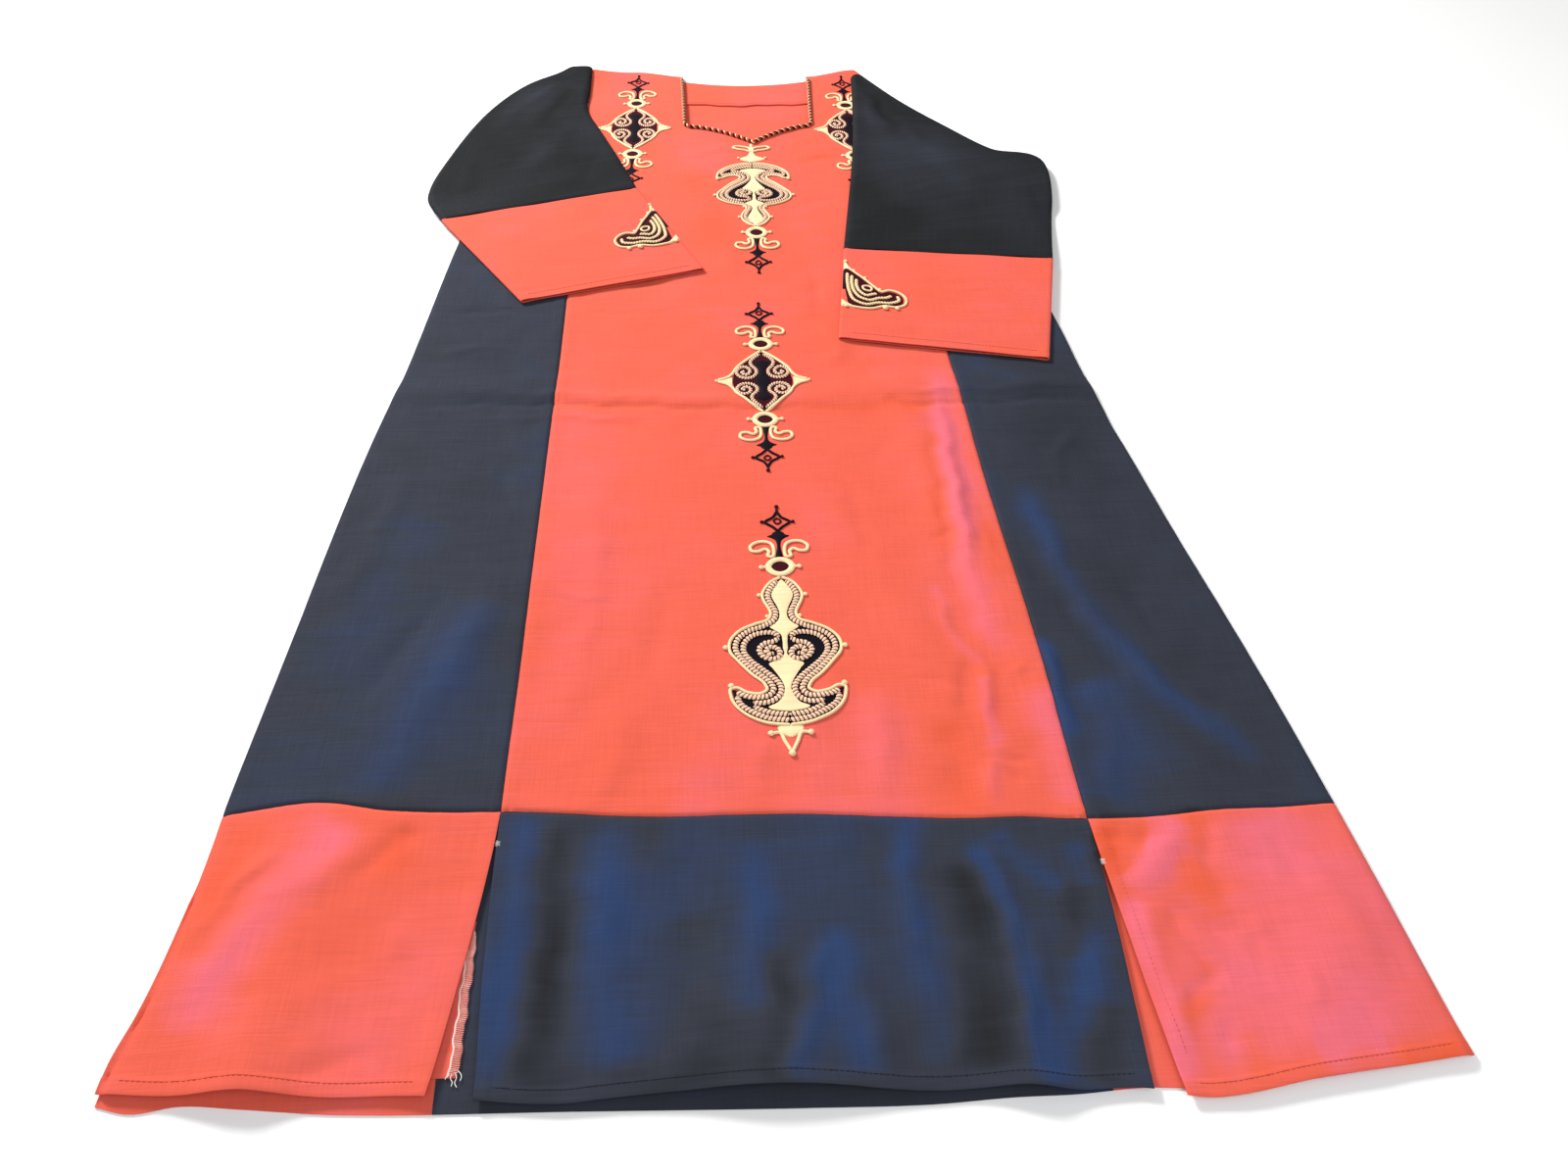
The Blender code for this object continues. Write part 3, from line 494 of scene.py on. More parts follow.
def cloth_piece(name, across, up, height, material, patch, keep=None, thick=CLOTH, lower=None):
    """A sheet of cloth whose outer face is the grid, its edges pinched lower by a share of its thickness. Its
    other face lies under it along the normals, or at the lower heights where those are given."""
    outer = points_at(across, up, height)
    inner = outer - thick * normals_of(outer) if lower is None else points_at(across, up, lower)
    pinch = np.zeros(across.shape)
    pinch[[0, -1], :] = 1.0
    pinch[:, [0, -1]] = 1.0
    outer = outer - (PINCH * thick * pinch)[..., None] * (0.0, 0.0, 1.0)
    points, faces = layered(outer, inner, keep)
    uv = np.stack([across, up], axis=-1).reshape(-1, 2)
    return add_piece(name, points, faces, np.tile(uv, (2, 1)), [material], patch=np.tile(patch.ravel(), 2))


def steps(length, cell=CELL, fine_start=True, fine_end=True):
    """Shares from 0 to 1 of a length in even cells, with closer ones over a short reach at fine ends."""
    fine = np.arange(0.0, EDGE_REACH, EDGE_CELL)
    first, last = (fine if fine_start else [0.0]), (length - fine[::-1] if fine_end else [length])
    start, end = (EDGE_REACH if fine_start else cell), length - (EDGE_REACH if fine_end else cell)
    between = np.linspace(start, end, max(2, int(round((end - start) / cell)) + 1))
    return np.concatenate([first, between, last]) / length


def spread(start, end, shares):
    """Places between each start and its end at the given shares, which run along the last axis."""
    return start[..., None] + (end - start)[..., None] * shares


def plug(tree, socket, value):
    """Feeds a socket from another one, or sets it to a plain value."""
    if isinstance(value, bpy.types.NodeSocket):
        tree.links.new(value, socket)
    else:
        socket.default_value = value


def worked(tree, operation, *values, clamp=False):
    """A Math node over the values; returns what it puts out."""
    node = tree.nodes.new("ShaderNodeMath")
    node.operation, node.use_clamp = operation, clamp
    for socket, value in zip(node.inputs, values):
        plug(tree, socket, value)
    return node.outputs[0]


def mixed(tree, share, first, second, blend="MIX"):
    """A colour Mix node; returns what it puts out."""
    node = tree.nodes.new("ShaderNodeMix")
    node.data_type, node.blend_type = "RGBA", blend
    for number, value in ((0, share), (6, first), (7, second)):
        plug(tree, node.inputs[number], value)
    return node.outputs[2]


def noise(tree, where, scales, detail=2.0, distortion=0.0):
    """Noise stretched by a scale for each direction of the map; returns its value."""
    node = tree.nodes.new("ShaderNodeVectorMath")
    node.operation = "MULTIPLY"
    plug(tree, node.inputs[0], where)
    node.inputs[1].default_value = (*scales, 1.0)
    made = tree.nodes.new("ShaderNodeTexNoise")
    made.inputs["Scale"].default_value = 1.0
    made.inputs["Detail"].default_value = detail
    made.inputs["Distortion"].default_value = distortion
    tree.links.new(node.outputs[0], made.inputs["Vector"])
    return made.outputs[0]


def group_of(name, inputs, outputs):
    """An empty shader node group with named sockets, its input node and its output node."""
    tree = bpy.data.node_groups.new(name, "ShaderNodeTree")
    for way, items in (("INPUT", inputs), ("OUTPUT", outputs)):
        for label, kind in items:
            tree.interface.new_socket(label, in_out=way, socket_type=f"NodeSocket{kind}")
    return tree, tree.nodes.new("NodeGroupInput"), tree.nodes.new("NodeGroupOutput")


def grey_of(tree, shade):
    """The grey whose three parts are all the shade."""
    grey = tree.nodes.new("ShaderNodeCombineXYZ")
    for socket in grey.inputs:
        tree.links.new(shade, socket)
    return grey.outputs[0]


def make_two_colour_weave():
    """Plain weave of uneven yarn in two colours: crowns of crossing sines, thick places drawn out along
    the yarns as stretched noise, and painted sheen and painted shade: the value per point moves the colour
    towards the sheen colour above nought and the shade colour below, and noise moves it at random too."""
    tree, given, put = group_of(
        "two_colour_weave",
        (("Weave", "Vector"), ("Sheen and shade", "Float"), ("Ground", "Color"), ("Second yarn and sheen", "Color"), ("Deep", "Color"),
         ("Yarn", "Float"), ("Uneven", "Float")),
        (("Color", "Color"), ("Roughness", "Float"), ("Height", "Float")),
    )
    where = given.outputs["Weave"]
    apart = tree.nodes.new("ShaderNodeSeparateXYZ")
    tree.links.new(where, apart.inputs[0])
    turn = worked(tree, "DIVIDE", math.pi, given.outputs["Yarn"])
    warp = worked(tree, "SINE", worked(tree, "MULTIPLY", apart.outputs[0], turn))
    weft = worked(tree, "SINE", worked(tree, "MULTIPLY", apart.outputs[1], turn))
    crown = worked(tree, "MULTIPLY", warp, weft)
    weft_yarns = worked(tree, "MULTIPLY", noise(tree, where, (34.0, 760.0), 3.0), 0.52)
    warp_yarns = worked(tree, "MULTIPLY", noise(tree, where, (700.0, 26.0), 3.0), 0.48)
    slubs = worked(tree, "ADD", weft_yarns, warp_yarns)
    grain = noise(tree, where, (10.0, 95.0), 4.0, 1.1)
    clouds = worked(tree, "MULTIPLY_ADD", noise(tree, where, (9.0, 6.0)), 1.4, -0.7)
    drift = worked(tree, "ADD", clouds, worked(tree, "MULTIPLY_ADD", grain, 0.5, -0.25))
    turned = worked(tree, "ADD", given.outputs["Sheen and shade"], drift)
    more, less = (worked(tree, "MULTIPLY", turned, gain, clamp=True) for gain in (0.85, -0.9))
    tone = mixed(tree, more, given.outputs["Ground"], given.outputs["Second yarn and sheen"])
    tone = mixed(tree, less, tone, given.outputs["Deep"])
    streak = worked(tree, "MULTIPLY", worked(tree, "SUBTRACT", slubs, 0.5), given.outputs["Uneven"])
    crowned = worked(tree, "MULTIPLY", crown, 0.05)
    shade = worked(tree, "ADD", worked(tree, "MULTIPLY_ADD", streak, 2.2, 1.0), crowned)
    tree.links.new(mixed(tree, 1.0, tone, grey_of(tree, shade), "MULTIPLY"), put.inputs["Color"])
    tree.links.new(worked(tree, "MULTIPLY_ADD", slubs, -0.25, 0.74), put.inputs["Roughness"])
    yarns = worked(tree, "ADD", crowned, worked(tree, "MULTIPLY", slubs, 0.28))
    tree.links.new(worked(tree, "ADD", yarns, worked(tree, "MULTIPLY", grain, 0.55)), put.inputs["Height"])
    return tree


two_colour_weave = make_two_colour_weave()


def mapped_material(name, group, attribute, socket, bump_distance, bump_strength, gloss):
    """A material with a group's colour, roughness and bump, from the weave map and a value per point."""
    made = bpy.data.materials.new(name)
    made.use_nodes = True
    tree = made.node_tree
    shader = tree.nodes["Principled BSDF"]
    look = tree.nodes.new("ShaderNodeGroup")
    look.node_tree = group
    where = tree.nodes.new("ShaderNodeUVMap")
    where.uv_map = "weave"
    value = tree.nodes.new("ShaderNodeAttribute")
    value.attribute_name = attribute
    tree.links.new(where.outputs[0], look.inputs[0])
    tree.links.new(value.outputs["Fac"], look.inputs[socket])
    relief = tree.nodes.new("ShaderNodeBump")
    relief.inputs["Distance"].default_value = bump_distance
    relief.inputs["Strength"].default_value = bump_strength
    tree.links.new(look.outputs["Height"], relief.inputs["Height"])
    tree.links.new(look.outputs["Color"], shader.inputs["Base Color"])
    tree.links.new(look.outputs["Roughness"], shader.inputs["Roughness"])
    tree.links.new(relief.outputs[0], shader.inputs["Normal"])
    shader.inputs["Specular IOR Level"].default_value = gloss
    return made, look


def cotton(name, ground, turned, dark_tone_and_shade, sheen, sheen_tint, uneven):
    """A shot cotton: the weave group's colour, with painted sheen and painted shade from the value per point,
    roughness and bump, and a soft sheen of loose fibres.
    """
    made, look = mapped_material(
        name, two_colour_weave, "patch", "Sheen and shade", bump_distance=0.001, bump_strength=0.8, gloss=0.015
    )
    shader = made.node_tree.nodes["Principled BSDF"]
    for label, colour in (("Ground", ground), ("Second yarn and sheen", turned), ("Deep", dark_tone_and_shade)):
        look.inputs[label].default_value = (*colour, 1.0)
    look.inputs["Yarn"].default_value = YARN
    look.inputs["Uneven"].default_value = uneven
    shader.inputs["Sheen Weight"].default_value = sheen
    shader.inputs["Sheen Roughness"].default_value = 0.45
    shader.inputs["Sheen Tint"].default_value = (*sheen_tint, 1.0)
    return made


# Ground colour, then the second yarn's colour used as painted sheen, then a darker tone used as painted
# shade.
coral_cotton = cotton(
    "coral_shot_cotton", (0.70, 0.112, 0.072), (0.71, 0.132, 0.170), (0.68, 0.096, 0.042),
    sheen=0.02, sheen_tint=(1.0, 0.55, 0.5), uneven=0.17,
)
navy_cotton = cotton(
    "navy_shot_cotton", (0.0335, 0.0375, 0.0510), (0.026, 0.046, 0.115), (0.0150, 0.0158, 0.0168),
    sheen=0.0, sheen_tint=(0.6, 0.7, 1.0), uneven=0.26,
)


def patches_at(across, up):
    """The painted sheen, above nought, and painted shade, below, from the drawn table."""
    x, y = wandered(across, up)
    return drawn_lines(x, y, FRONT_SHEEN_AND_SHADE, fade=PATCH_FADE)


def declare(piece, nodes):
    """Hangs a piece from the root and hides the model's parts that it stands in for."""
    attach(piece, "root")
    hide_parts(*nodes)


def front_columns(level, side, middle):
    """Places across the front from seam to seam, on lines that follow the neck's sides and its point."""
    rise = np.maximum(level - NECK_CORNER_UP, 0.0)
    left, right = NECK_LEFT - rise * NECK_FLARE, NECK_RIGHT + rise * NECK_FLARE
    point = NECK_POINT + 0.0 * rise
    spans = (
        spread(seam_left(level) + SEAM_GAP / 2, left, side)[..., :-1],
        spread(left, point, middle)[..., :-1],
        spread(point, right, middle)[..., :-1],
        spread(right, seam_right(level) - SEAM_GAP / 2, 1.0 - side[::-1]),
    )
    return np.concatenate(spans, axis=-1)


def make_front_panel():
    """The panel as a wall under its height: rows from the band seam to the neck line, then the shoulder."""
    side, middle = steps(STRAP_WIDTH, fine_end=False), np.linspace(0.0, 1.0, MIDDLE_POINTS)
    levels = steps(NECK_CORNER_UP - BAND_UP, fine_end=False)
    columns = 2 * (len(side) - 1) + 2 * (len(middle) - 1) + 1
    neck = np.arange(len(side) - 1, columns - len(side) + 1)
    top = np.full(columns, NECK_CORNER_UP)
    point = 1.0 - np.abs(np.linspace(-1.0, 1.0, len(neck)))
    top[neck] -= NECK_DROP * point**NECK_CURVE
    across = front_columns(BAND_UP + levels * (NECK_CORNER_UP - BAND_UP), side, middle)
    bottom = band_seam(across) + SEAM_GAP / 2
    up = bottom + (top[None, :] - bottom) * levels[:, None]

    strap = steps(SHOULDER_UP - NECK_CORNER_UP, fine_start=False)[1:]
    strap_across = front_columns(NECK_CORNER_UP + strap * (SHOULDER_UP - NECK_CORNER_UP), side, middle)
    strap_up = NECK_CORNER_UP + (shoulder_up(strap_across) - NECK_CORNER_UP) * strap[:, None]
    across, up = np.concatenate([across, strap_across]), np.concatenate([up, strap_up])
    height = rolled(front_lie(across, up), shoulder_up(across) - up, SHOULDER_ROLL)
    keep = np.ones((across.shape[0] - 1, across.shape[1] - 1), bool)
    keep[len(levels) - 1 :, neck[0] : neck[-1]] = False
    return cloth_piece("front_panel_cloth", across, up, height, coral_cotton, patches_at(across, up), keep)


front_panel = make_front_panel()
declare(front_panel, ["front_panel"])


# Front side panels
# Navy cotton, cut to widen from the underarm to the hem band and sewn to the middle panel. Each one
# rolls over the side fold, where the real cloth goes on round to the back without a seam.
UNDERARM_UP, UNDERARM_SLOPE = 1.105, 0.42
FOLD_ROLL = 0.008
SIDE_WIDTH = 0.17


def side_left(up):
    """Across of the left side fold, read from the body's table."""
    return along(BODY_STATIONS, 1, up)


def side_right(up):
    """Across of the right side fold, read from the body's table."""
    return along(BODY_STATIONS, 4, up)


def underarm_up(beyond_seam):
    """The top edge of a side panel, which falls away from the seam towards the side fold."""
    return UNDERARM_UP - beyond_seam * UNDERARM_SLOPE


def to_the_fold(seam, fold, sign, shares):
    """Places from a seam out to a side fold, closer together over the roll."""
    turn = fold - sign * FOLD_ROLL
    rolling = 1.0 - np.cos(np.linspace(0.0, math.pi / 2, 6)[1:])
    over_the_roll = fold[..., None] - sign * FOLD_ROLL * (rolling[::-1] - rolling[0])
    return np.concatenate([spread(seam, turn, shares), over_the_roll], axis=-1)


def left_to_right(sign, *grids):
    """Grids whose columns go from left to right: those of a left side, made outwards, are turned round."""
    return [grid[:, :: int(sign)] for grid in grids]


def front_piece(name, sign, across, up, height, material):
    """A piece of the front from its grids, with the front's own painted sheen and shade."""
    across, up, height = left_to_right(sign, across, up, height)
    return cloth_piece(name, across, up, height, material, patches_at(across, up))


def side_up(across, at_seam, levels):
    """Rows of a side panel at shares of the way from the band seam to the underarm's slope."""
    bottom = band_seam(across) + SEAM_GAP / 2
    top = underarm_up(np.abs(across - at_seam[:, None])) - SEAM_GAP
    return bottom + (top - bottom) * levels[:, None]


def make_front_side(side, seam, fold, sign):
    """A navy side of the front, from its seam to its fold and from the band seam to the underarm."""
    levels = steps(UNDERARM_UP - BAND_UP)
    upright = BAND_UP + levels * (UNDERARM_UP - BAND_UP)
    inner = seam(upright) + sign * SEAM_GAP / 2
    across = to_the_fold(inner, fold(upright), sign, steps(SIDE_WIDTH, fine_end=False))
    up = side_up(across, seam(upright), levels)
    height = rolled(front_lie(across, up), np.abs(fold(up) - across), FOLD_ROLL)
    return front_piece(f"front_side_{side}_cloth", sign, across, up, height, navy_cotton)


SIDES = (("left", seam_left, side_left, -1.0), ("right", seam_right, side_right, 1.0))
SIDE_CUTS = {"left": ((0.19, 0.97), 0.150), "right": ((0.20, 0.97), 0.127)}
for side, seam, fold, sign in SIDES:
    panel, under = make_front_side(side, seam, fold, sign), [f"back_side_{side}_cloth"]
    flat, area = SIDE_CUTS[side]
    declare(panel, [f"front_side_{side}"])


# Front hem band
# A navy middle and two coral sides, the colours of the robe changed over. Both seams are left open
# as slits, so the edges swing apart a little. The hem is turned up twice and sewn by machine.
LEFT_SLIT, RIGHT_SLIT, SLIT_CURVE = 0.027, 0.018, 1.5
HEM_TURN, SLIT_TURN, STITCH_SET_IN = 0.0085, 0.008, 0.0008
TURN_THICK, STITCH_DRAW, STITCH_DRAW_HALF = 0.0005, 0.00012, 0.0011
SLIT_TOP, SLIT_FADE = 0.985, 0.05
HEM_PUCKER_REACH, HEM_FINE_ROWS, HEM_FINE_END = 0.007, 0.004, 0.005
BAND_WIDTH = 0.392
SIDE_BAND_AREAS = {"left": 0.037, "right": 0.036}


def front_hem(across):
    """How far up the front's hem lies, read from the hem's table."""
    return along(HEM_STATIONS, 1, across)


def band_inner_edge(side, up):
    """Across of a side band's inner edge, which swings away from the slit towards the hem."""
    seam, slit, sign = (seam_left, LEFT_SLIT, -1.0) if side == "left" else (seam_right, RIGHT_SLIT, 1.0)
    share = np.clip(1.0 - up / BAND_UP, 0.0, 1.0)
    return seam(up) + sign * (SEAM_GAP / 2 + slit * share**SLIT_CURVE)


def turned_edge(off, turn):
    """Relief of an edge turned under and sewn: thicker up to the stitches, which draw it down in a line."""
    thick = TURN_THICK * (1.0 - smooth_step((off - turn) / 0.002))
    return thick - STITCH_DRAW * np.exp(-(((off - turn + STITCH_SET_IN) / STITCH_DRAW_HALF) ** 2))


def band_lie(across, up):
    """The front's height with its turned hem, drawn into small slanting puckers along the stitches."""
    off = up - front_hem(across)
    slant = np.sin(across * 430.0 + off * 160.0 + 3.0 * np.sin(across * 70.0))
    near = (1.0 + np.sin(across * 33.0)) * np.exp(-(((off - HEM_TURN) / HEM_PUCKER_REACH) ** 2))
    return front_lie(across, up) + turned_edge(off, HEM_TURN) + PUCKER * slant * near


def band_levels():
    """Rows of a hem band, close together from the hem to just past its stitches."""
    hem_rows = np.arange(0.0, HEM_TURN + HEM_FINE_ROWS, EDGE_CELL)
    above = BAND_UP - HEM_TURN - HEM_FINE_END
    return np.concatenate([hem_rows, BAND_UP - above + steps(above, fine_start=False) * above]) / BAND_UP


def band_rows(across, hem, levels):
    """Rows of a hem band at shares of the way from a hem to the band seam."""
    bottom, top = hem(across), band_seam(across) - SEAM_GAP / 2
    return bottom + (top - bottom) * levels[:, None]


def slit_hem(off, levels):
    """Relief of a slit's turned edge, which fades out just under the band seam."""
    return turned_edge(off, SLIT_TURN) * smooth_step((SLIT_TOP - levels) / SLIT_FADE)[:, None]


def make_middle_band():
    """The navy middle: rows from the hem to the band seam, columns from slit to slit."""
    levels = band_levels()
    left, right = seam_left(levels * BAND_UP) + SEAM_GAP / 2, seam_right(levels * BAND_UP) - SEAM_GAP / 2
    across = spread(left, right, steps(BAND_WIDTH))
    up = band_rows(across, front_hem, levels)
    off = np.minimum(across - across[:, :1], across[:, -1:] - across)
    height = band_lie(across, up) + slit_hem(off, levels)
    return front_piece("front_band_cloth", 1.0, across, up, height, navy_cotton)


def make_side_band(side, fold, sign):
    """A coral side of the band, from its slit edge to the side fold."""
    levels = band_levels()
    upright = levels * BAND_UP
    shares = steps(SIDE_WIDTH, fine_end=False)
    across = to_the_fold(band_inner_edge(side, upright), fold(upright), sign, shares)
    up = band_rows(across, front_hem, levels)
    relief = slit_hem(np.abs(across - across[:, :1]), levels)
    height = rolled(band_lie(across, up) + relief, np.abs(fold(up) - across), FOLD_ROLL)
    return front_piece(f"front_band_{side}_cloth", sign, across, up, height, coral_cotton)


band = make_middle_band()
declare(band, ["front_band"])
for side, seam, fold, sign in SIDES:
    band = make_side_band(side, fold, sign)
    under, area = [f"back_band_{side}_cloth"], SIDE_BAND_AREAS[side]
    declare(band, [f"front_band_{side}"])


# Back
# The same cut as the front, face down on the surface and hidden but for its hem, what shows in the
# slits, and the inside of the neck. Its own creases are softer, pressed by the weight on top.
BACK_SHIFT, BACK_SHIFT_UP = -0.023, 0.6
BACK_NECK_MIDDLE, BACK_NECK_UP, BACK_NECK_DIP = -0.004, 1.354, 0.013
BACK_NECK_HALF, BACK_NECK_REACH = 0.083, 0.100
EDGE_SET_BACK, SHOULDER_SET_BACK = 0.0005, 0.0028
BACK_CELL, BACK_ROWS, BACK_BAND_ROWS = 0.009, 161, 25
BACK_WIDTH, BACK_SIDE_WIDTH, BACK_BAND_WIDTH = 0.40, 0.15, 0.2
BACK_CREASES = (
    (0.35, 6, (-360, 648), (-200, 645), (0, 640), (180, 644), (310, 648)),
    (0.3, 9, (150, 600), (158, 450), (180, 300)),
    (0.3, 10, (-240, 420), (-270, 300), (-300, 200)),
    (0.3, 10, (-120, 200), (-112, 60)),
    (0.25, 8, (-50, 1320), (10, 1300), (60, 1310)),
    (0.3, 6, (-60, 1240), (0, 1228), (50, 1236)),
)


def back_hem(across):
    """How far up the back's hem lies, read from the hem's table."""
    return along(HEM_STATIONS, 2, across)


def back_lie(across, up):
    """The back's upper face: one cloth thick, with low soft creases and slow waves."""
    x, y = wandered(across, up)
    waves = np.sin(x * 45.0 + 2.0 * np.sin(y * 13.0)) * np.sin(y * 31.0)
    return CLOTH + 0.0001 * waves + MM * drawn_lines(x, y, BACK_CREASES)


def back_seam(seam, up):
    """A seam of the back, which lies a little to the left of the front's towards the hem."""
    return seam(up) + BACK_SHIFT * (1.0 - smooth_step(up / BACK_SHIFT_UP))


def make_back_piece(name, across, up, material):
    """A back piece as a wall from the surface up to its height."""
    return cloth_piece(name, across, up, back_lie(across, up), material, 0.0 * across, lower=0.0 * across)


def make_back_panel():
    """The back's middle: even rows up to the underarm, then rows that ease into the neck's curve."""
    levels = np.linspace(0.0, 1.0, BACK_ROWS)
    upright = BAND_UP + levels * (SHOULDER_UP - BAND_UP)
    left, right = back_seam(seam_left, upright) + SEAM_GAP / 2, back_seam(seam_right, upright) - SEAM_GAP / 2
    across = spread(left, right, steps(BACK_WIDTH, BACK_CELL))
    off = np.abs(across[-1] - BACK_NECK_MIDDLE)
    top = shoulder_up(across[-1]) - SHOULDER_SET_BACK
    dip = BACK_NECK_UP - BACK_NECK_DIP * (1.0 - (off / BACK_NECK_HALF) ** 2)
    top = np.where(off < BACK_NECK_REACH, np.minimum(top, dip), top)
    bottom = band_seam(across) + SEAM_GAP / 2
    up = bottom + (top - bottom) * levels[:, None]
    return make_back_piece("back_panel_cloth", across, up, coral_cotton)


declare(make_back_panel(), ["back_panel"])
for side, seam, fold, sign in SIDES:
    levels = steps(UNDERARM_UP - BAND_UP, BACK_CELL)
    upright = BAND_UP + levels * (UNDERARM_UP - BAND_UP)
    start, end = back_seam(seam, upright) + sign * SEAM_GAP / 2, fold(upright) - sign * EDGE_SET_BACK
    across = spread(start, end, steps(BACK_SIDE_WIDTH, BACK_CELL))
    up = side_up(across, seam(upright), levels)
    panel = make_back_piece(f"back_side_{side}_cloth", *left_to_right(sign, across, up), navy_cotton)
    flat, area = SIDE_CUTS[side]
    declare(panel, [f"back_side_{side}"])

upright = np.linspace(0.0, BAND_UP, BACK_BAND_ROWS)
left, right = back_seam(seam_left, upright), back_seam(seam_right, upright)
left_fold, right_fold = side_left(upright) + EDGE_SET_BACK, side_right(upright) - EDGE_SET_BACK
BACK_BANDS = (
    ("back_band", left + SEAM_GAP / 2, right - SEAM_GAP / 2, navy_cotton, "navy_cotton", (0.41, 0.22), 0.077),
    ("back_band_left", left_fold, left - SEAM_GAP / 2, coral_cotton, "coral_cotton", (0.21, 0.22), 0.034),
    ("back_band_right", right + SEAM_GAP / 2, right_fold, coral_cotton, "coral_cotton", (0.22, 0.22), 0.038),
)
for name, start, end, material, slot, flat, area in BACK_BANDS:
    across = spread(start, end, steps(BACK_BAND_WIDTH, BACK_CELL / 2))
    up = band_rows(across, back_hem, upright / BAND_UP)
    declare(make_back_piece(f"{name}_cloth", across, up, material), [name])


# Neck facing
# A strip of the same coral cotton sewn inside the back neck, its lower edge turned under, seen
# through the neck opening. The edge wavers a little between the stitches.
FACING_UP, FACING_REACH, FACING_SET_IN, FACING_DIP, FACING_THICK = 1.285, 0.018, 0.004, 0.6, 0.0010
FACING_DEPTH, FACING_COLUMNS, FACING_WAVE_HALF = 0.07, 90, 0.11
FACING_TURN, FACING_TURN_THICK, FACING_CLEAR = 0.007, 0.0006, 0.0001
facing_across = np.linspace(NECK_LEFT - FACING_REACH, NECK_RIGHT + FACING_REACH, FACING_COLUMNS)
facing_share = (facing_across - BACK_NECK_MIDDLE) / (BACK_NECK_HALF + FACING_REACH)
facing_dip = BACK_NECK_DIP * (1.0 - facing_share**2)
facing_wave = 0.0016 * np.sin(facing_across * 74.0) + 0.0008 * np.sin(facing_across * 190.0)
facing_wave = facing_wave * (1.0 - (facing_across / FACING_WAVE_HALF) ** 2)
facing_low = FACING_UP - FACING_DIP * facing_dip + facing_wave
facing_high = BACK_NECK_UP - facing_dip - FACING_SET_IN
facing_up = spread(facing_low, facing_high, steps(FACING_DEPTH)).T
facing_grid = np.repeat(facing_across[None, :], len(facing_up), axis=0)


def facing_foot(across, up):
    """The facing's lower face: the back's face with its creases, and a seam's gap over it."""
    return CLOTH + SEAM_GAP + MM * drawn_lines(across, up, BACK_CREASES) + FACING_CLEAR


facing_bottom = facing_foot(facing_grid, facing_up)
facing_turn = FACING_TURN_THICK * (1.0 - smooth_step((facing_up - facing_low - FACING_TURN) / 0.002))
neck_facing = cloth_piece(
    "neck_facing_cloth", facing_grid, facing_up, facing_bottom + FACING_THICK + facing_turn, coral_cotton,
    0.0 * facing_grid, lower=facing_bottom,
)
under = ["back_panel_cloth"]
declare(neck_facing, ["neck_facing"])


# Sleeves
# Wide tapered tubes of navy cotton, sewn to the shoulder, flattened, and folded in slantwise over the
# front. Each lies soft and a little puffed, with creases that run from the shoulder to the cuff.
LIE_GAP = 0.0007
OVERHANG, OVERHANG_FALL = 0.028, 0.030
SLEEVE_LENGTH, SLEEVE_CELL, SLEEVE_POINTS = 0.42, 0.004, 57
SLEEVE_LIP, UNDER_ROLL, SLEEVE_LIFT = 0.25, 0.003, 0.0011
# The whole of each sleeve's colour is darkened towards the shade colour as painted shade.
SLEEVE_WALL, SLEEVE_WAVES, SLEEVE_PAINTED_SHADE = 0.0007, 0.0004, -0.95
SEAM_DIP, SEAM_DIP_HALF = 0.0006, 0.002
# From the shoulder to the cuff seam: inner edge across and up, outer edge across and up, thickness
LEFT_SLEEVE = MM * np.array(
    [
        (-210, 1370, -243, 1374, 5.5),
        (-210, 1310, -297, 1323, 7.2),
        (-209, 1253, -339, 1239, 7),
        (-187, 1190, -367, 1130, 6.5),
        (-162, 1120, -380, 1035, 6),
        (-138, 1047, -356, 978, 5.2),
    ]
)
RIGHT_SLEEVE = MM * np.array(
    [
        (140, 1343, 157, 1343, 10),
        (137, 1290, 200, 1266, 8.5),
        (130, 1200, 251, 1196, 7.5),
        (121, 1110, 300, 1136, 6.5),
        (108, 1010, 359, 1097, 6),
        (94, 907, 323, 882, 5.2),
    ]
)
SLEEVE_CREASES = (
    (1.2, 10, (-226, 1350), (-262, 1300), (-300, 1240), (-322, 1170)),
    (-1, 9, (-222, 1320), (-246, 1260), (-262, 1190)),
    (0.8, 12, (-220, 1230), (-240, 1150), (-276, 1080)),
    (-0.6, 8, (-186, 1150), (-196, 1090), (-206, 1040)),
    (0.5, 7, (-330, 1130), (-340, 1070), (-336, 1010)),
    (-0.6, 6, (-350, 1110), (-310, 1090), (-280, 1094)),
    (1.2, 8, (150, 1320), (156, 1250), (158, 1180)),
    (-1.2, 7, (166, 1300), (174, 1240), (180, 1180)),
    (1, 9, (186, 1250), (200, 1190), (214, 1130)),
    (0.7, 12, (150, 1120), (172, 1040), (190, 960)),
    (-0.6, 9, (220, 1100), (250, 1020), (264, 950)),
    (0.5, 8, (300, 1100), (318, 1020), (310, 940)),
    (-0.5, 5, (130, 990), (180, 978), (230, 984)),
)
# Painted blue sheen above nought and painted shade below, on the sleeves: share, half width, places
SLEEVE_SHEEN_AND_SHADE = (
    (0.25, 20, (-230, 1340), (-280, 1260), (-320, 1180)),
    (0.22, 16, (-250, 1180), (-260, 1120), (-290, 1060)),
    (-0.40, 14, (-222, 1320), (-250, 1250), (-270, 1180)),
    (-0.35, 20, (-330, 1160), (-350, 1080), (-330, 1010)),
    (0.30, 14, (152, 1310), (158, 1240), (164, 1160)),
    (0.25, 20, (200, 1180), (230, 1100), (250, 1000)),
    (-0.45, 10, (168, 1300), (176, 1230), (184, 1160)),
    (-0.30, 30, (130, 1060), (150, 980), (180, 930)),
    (0.20, 110, (190, 1260), (210, 1080), (220, 900)),
)


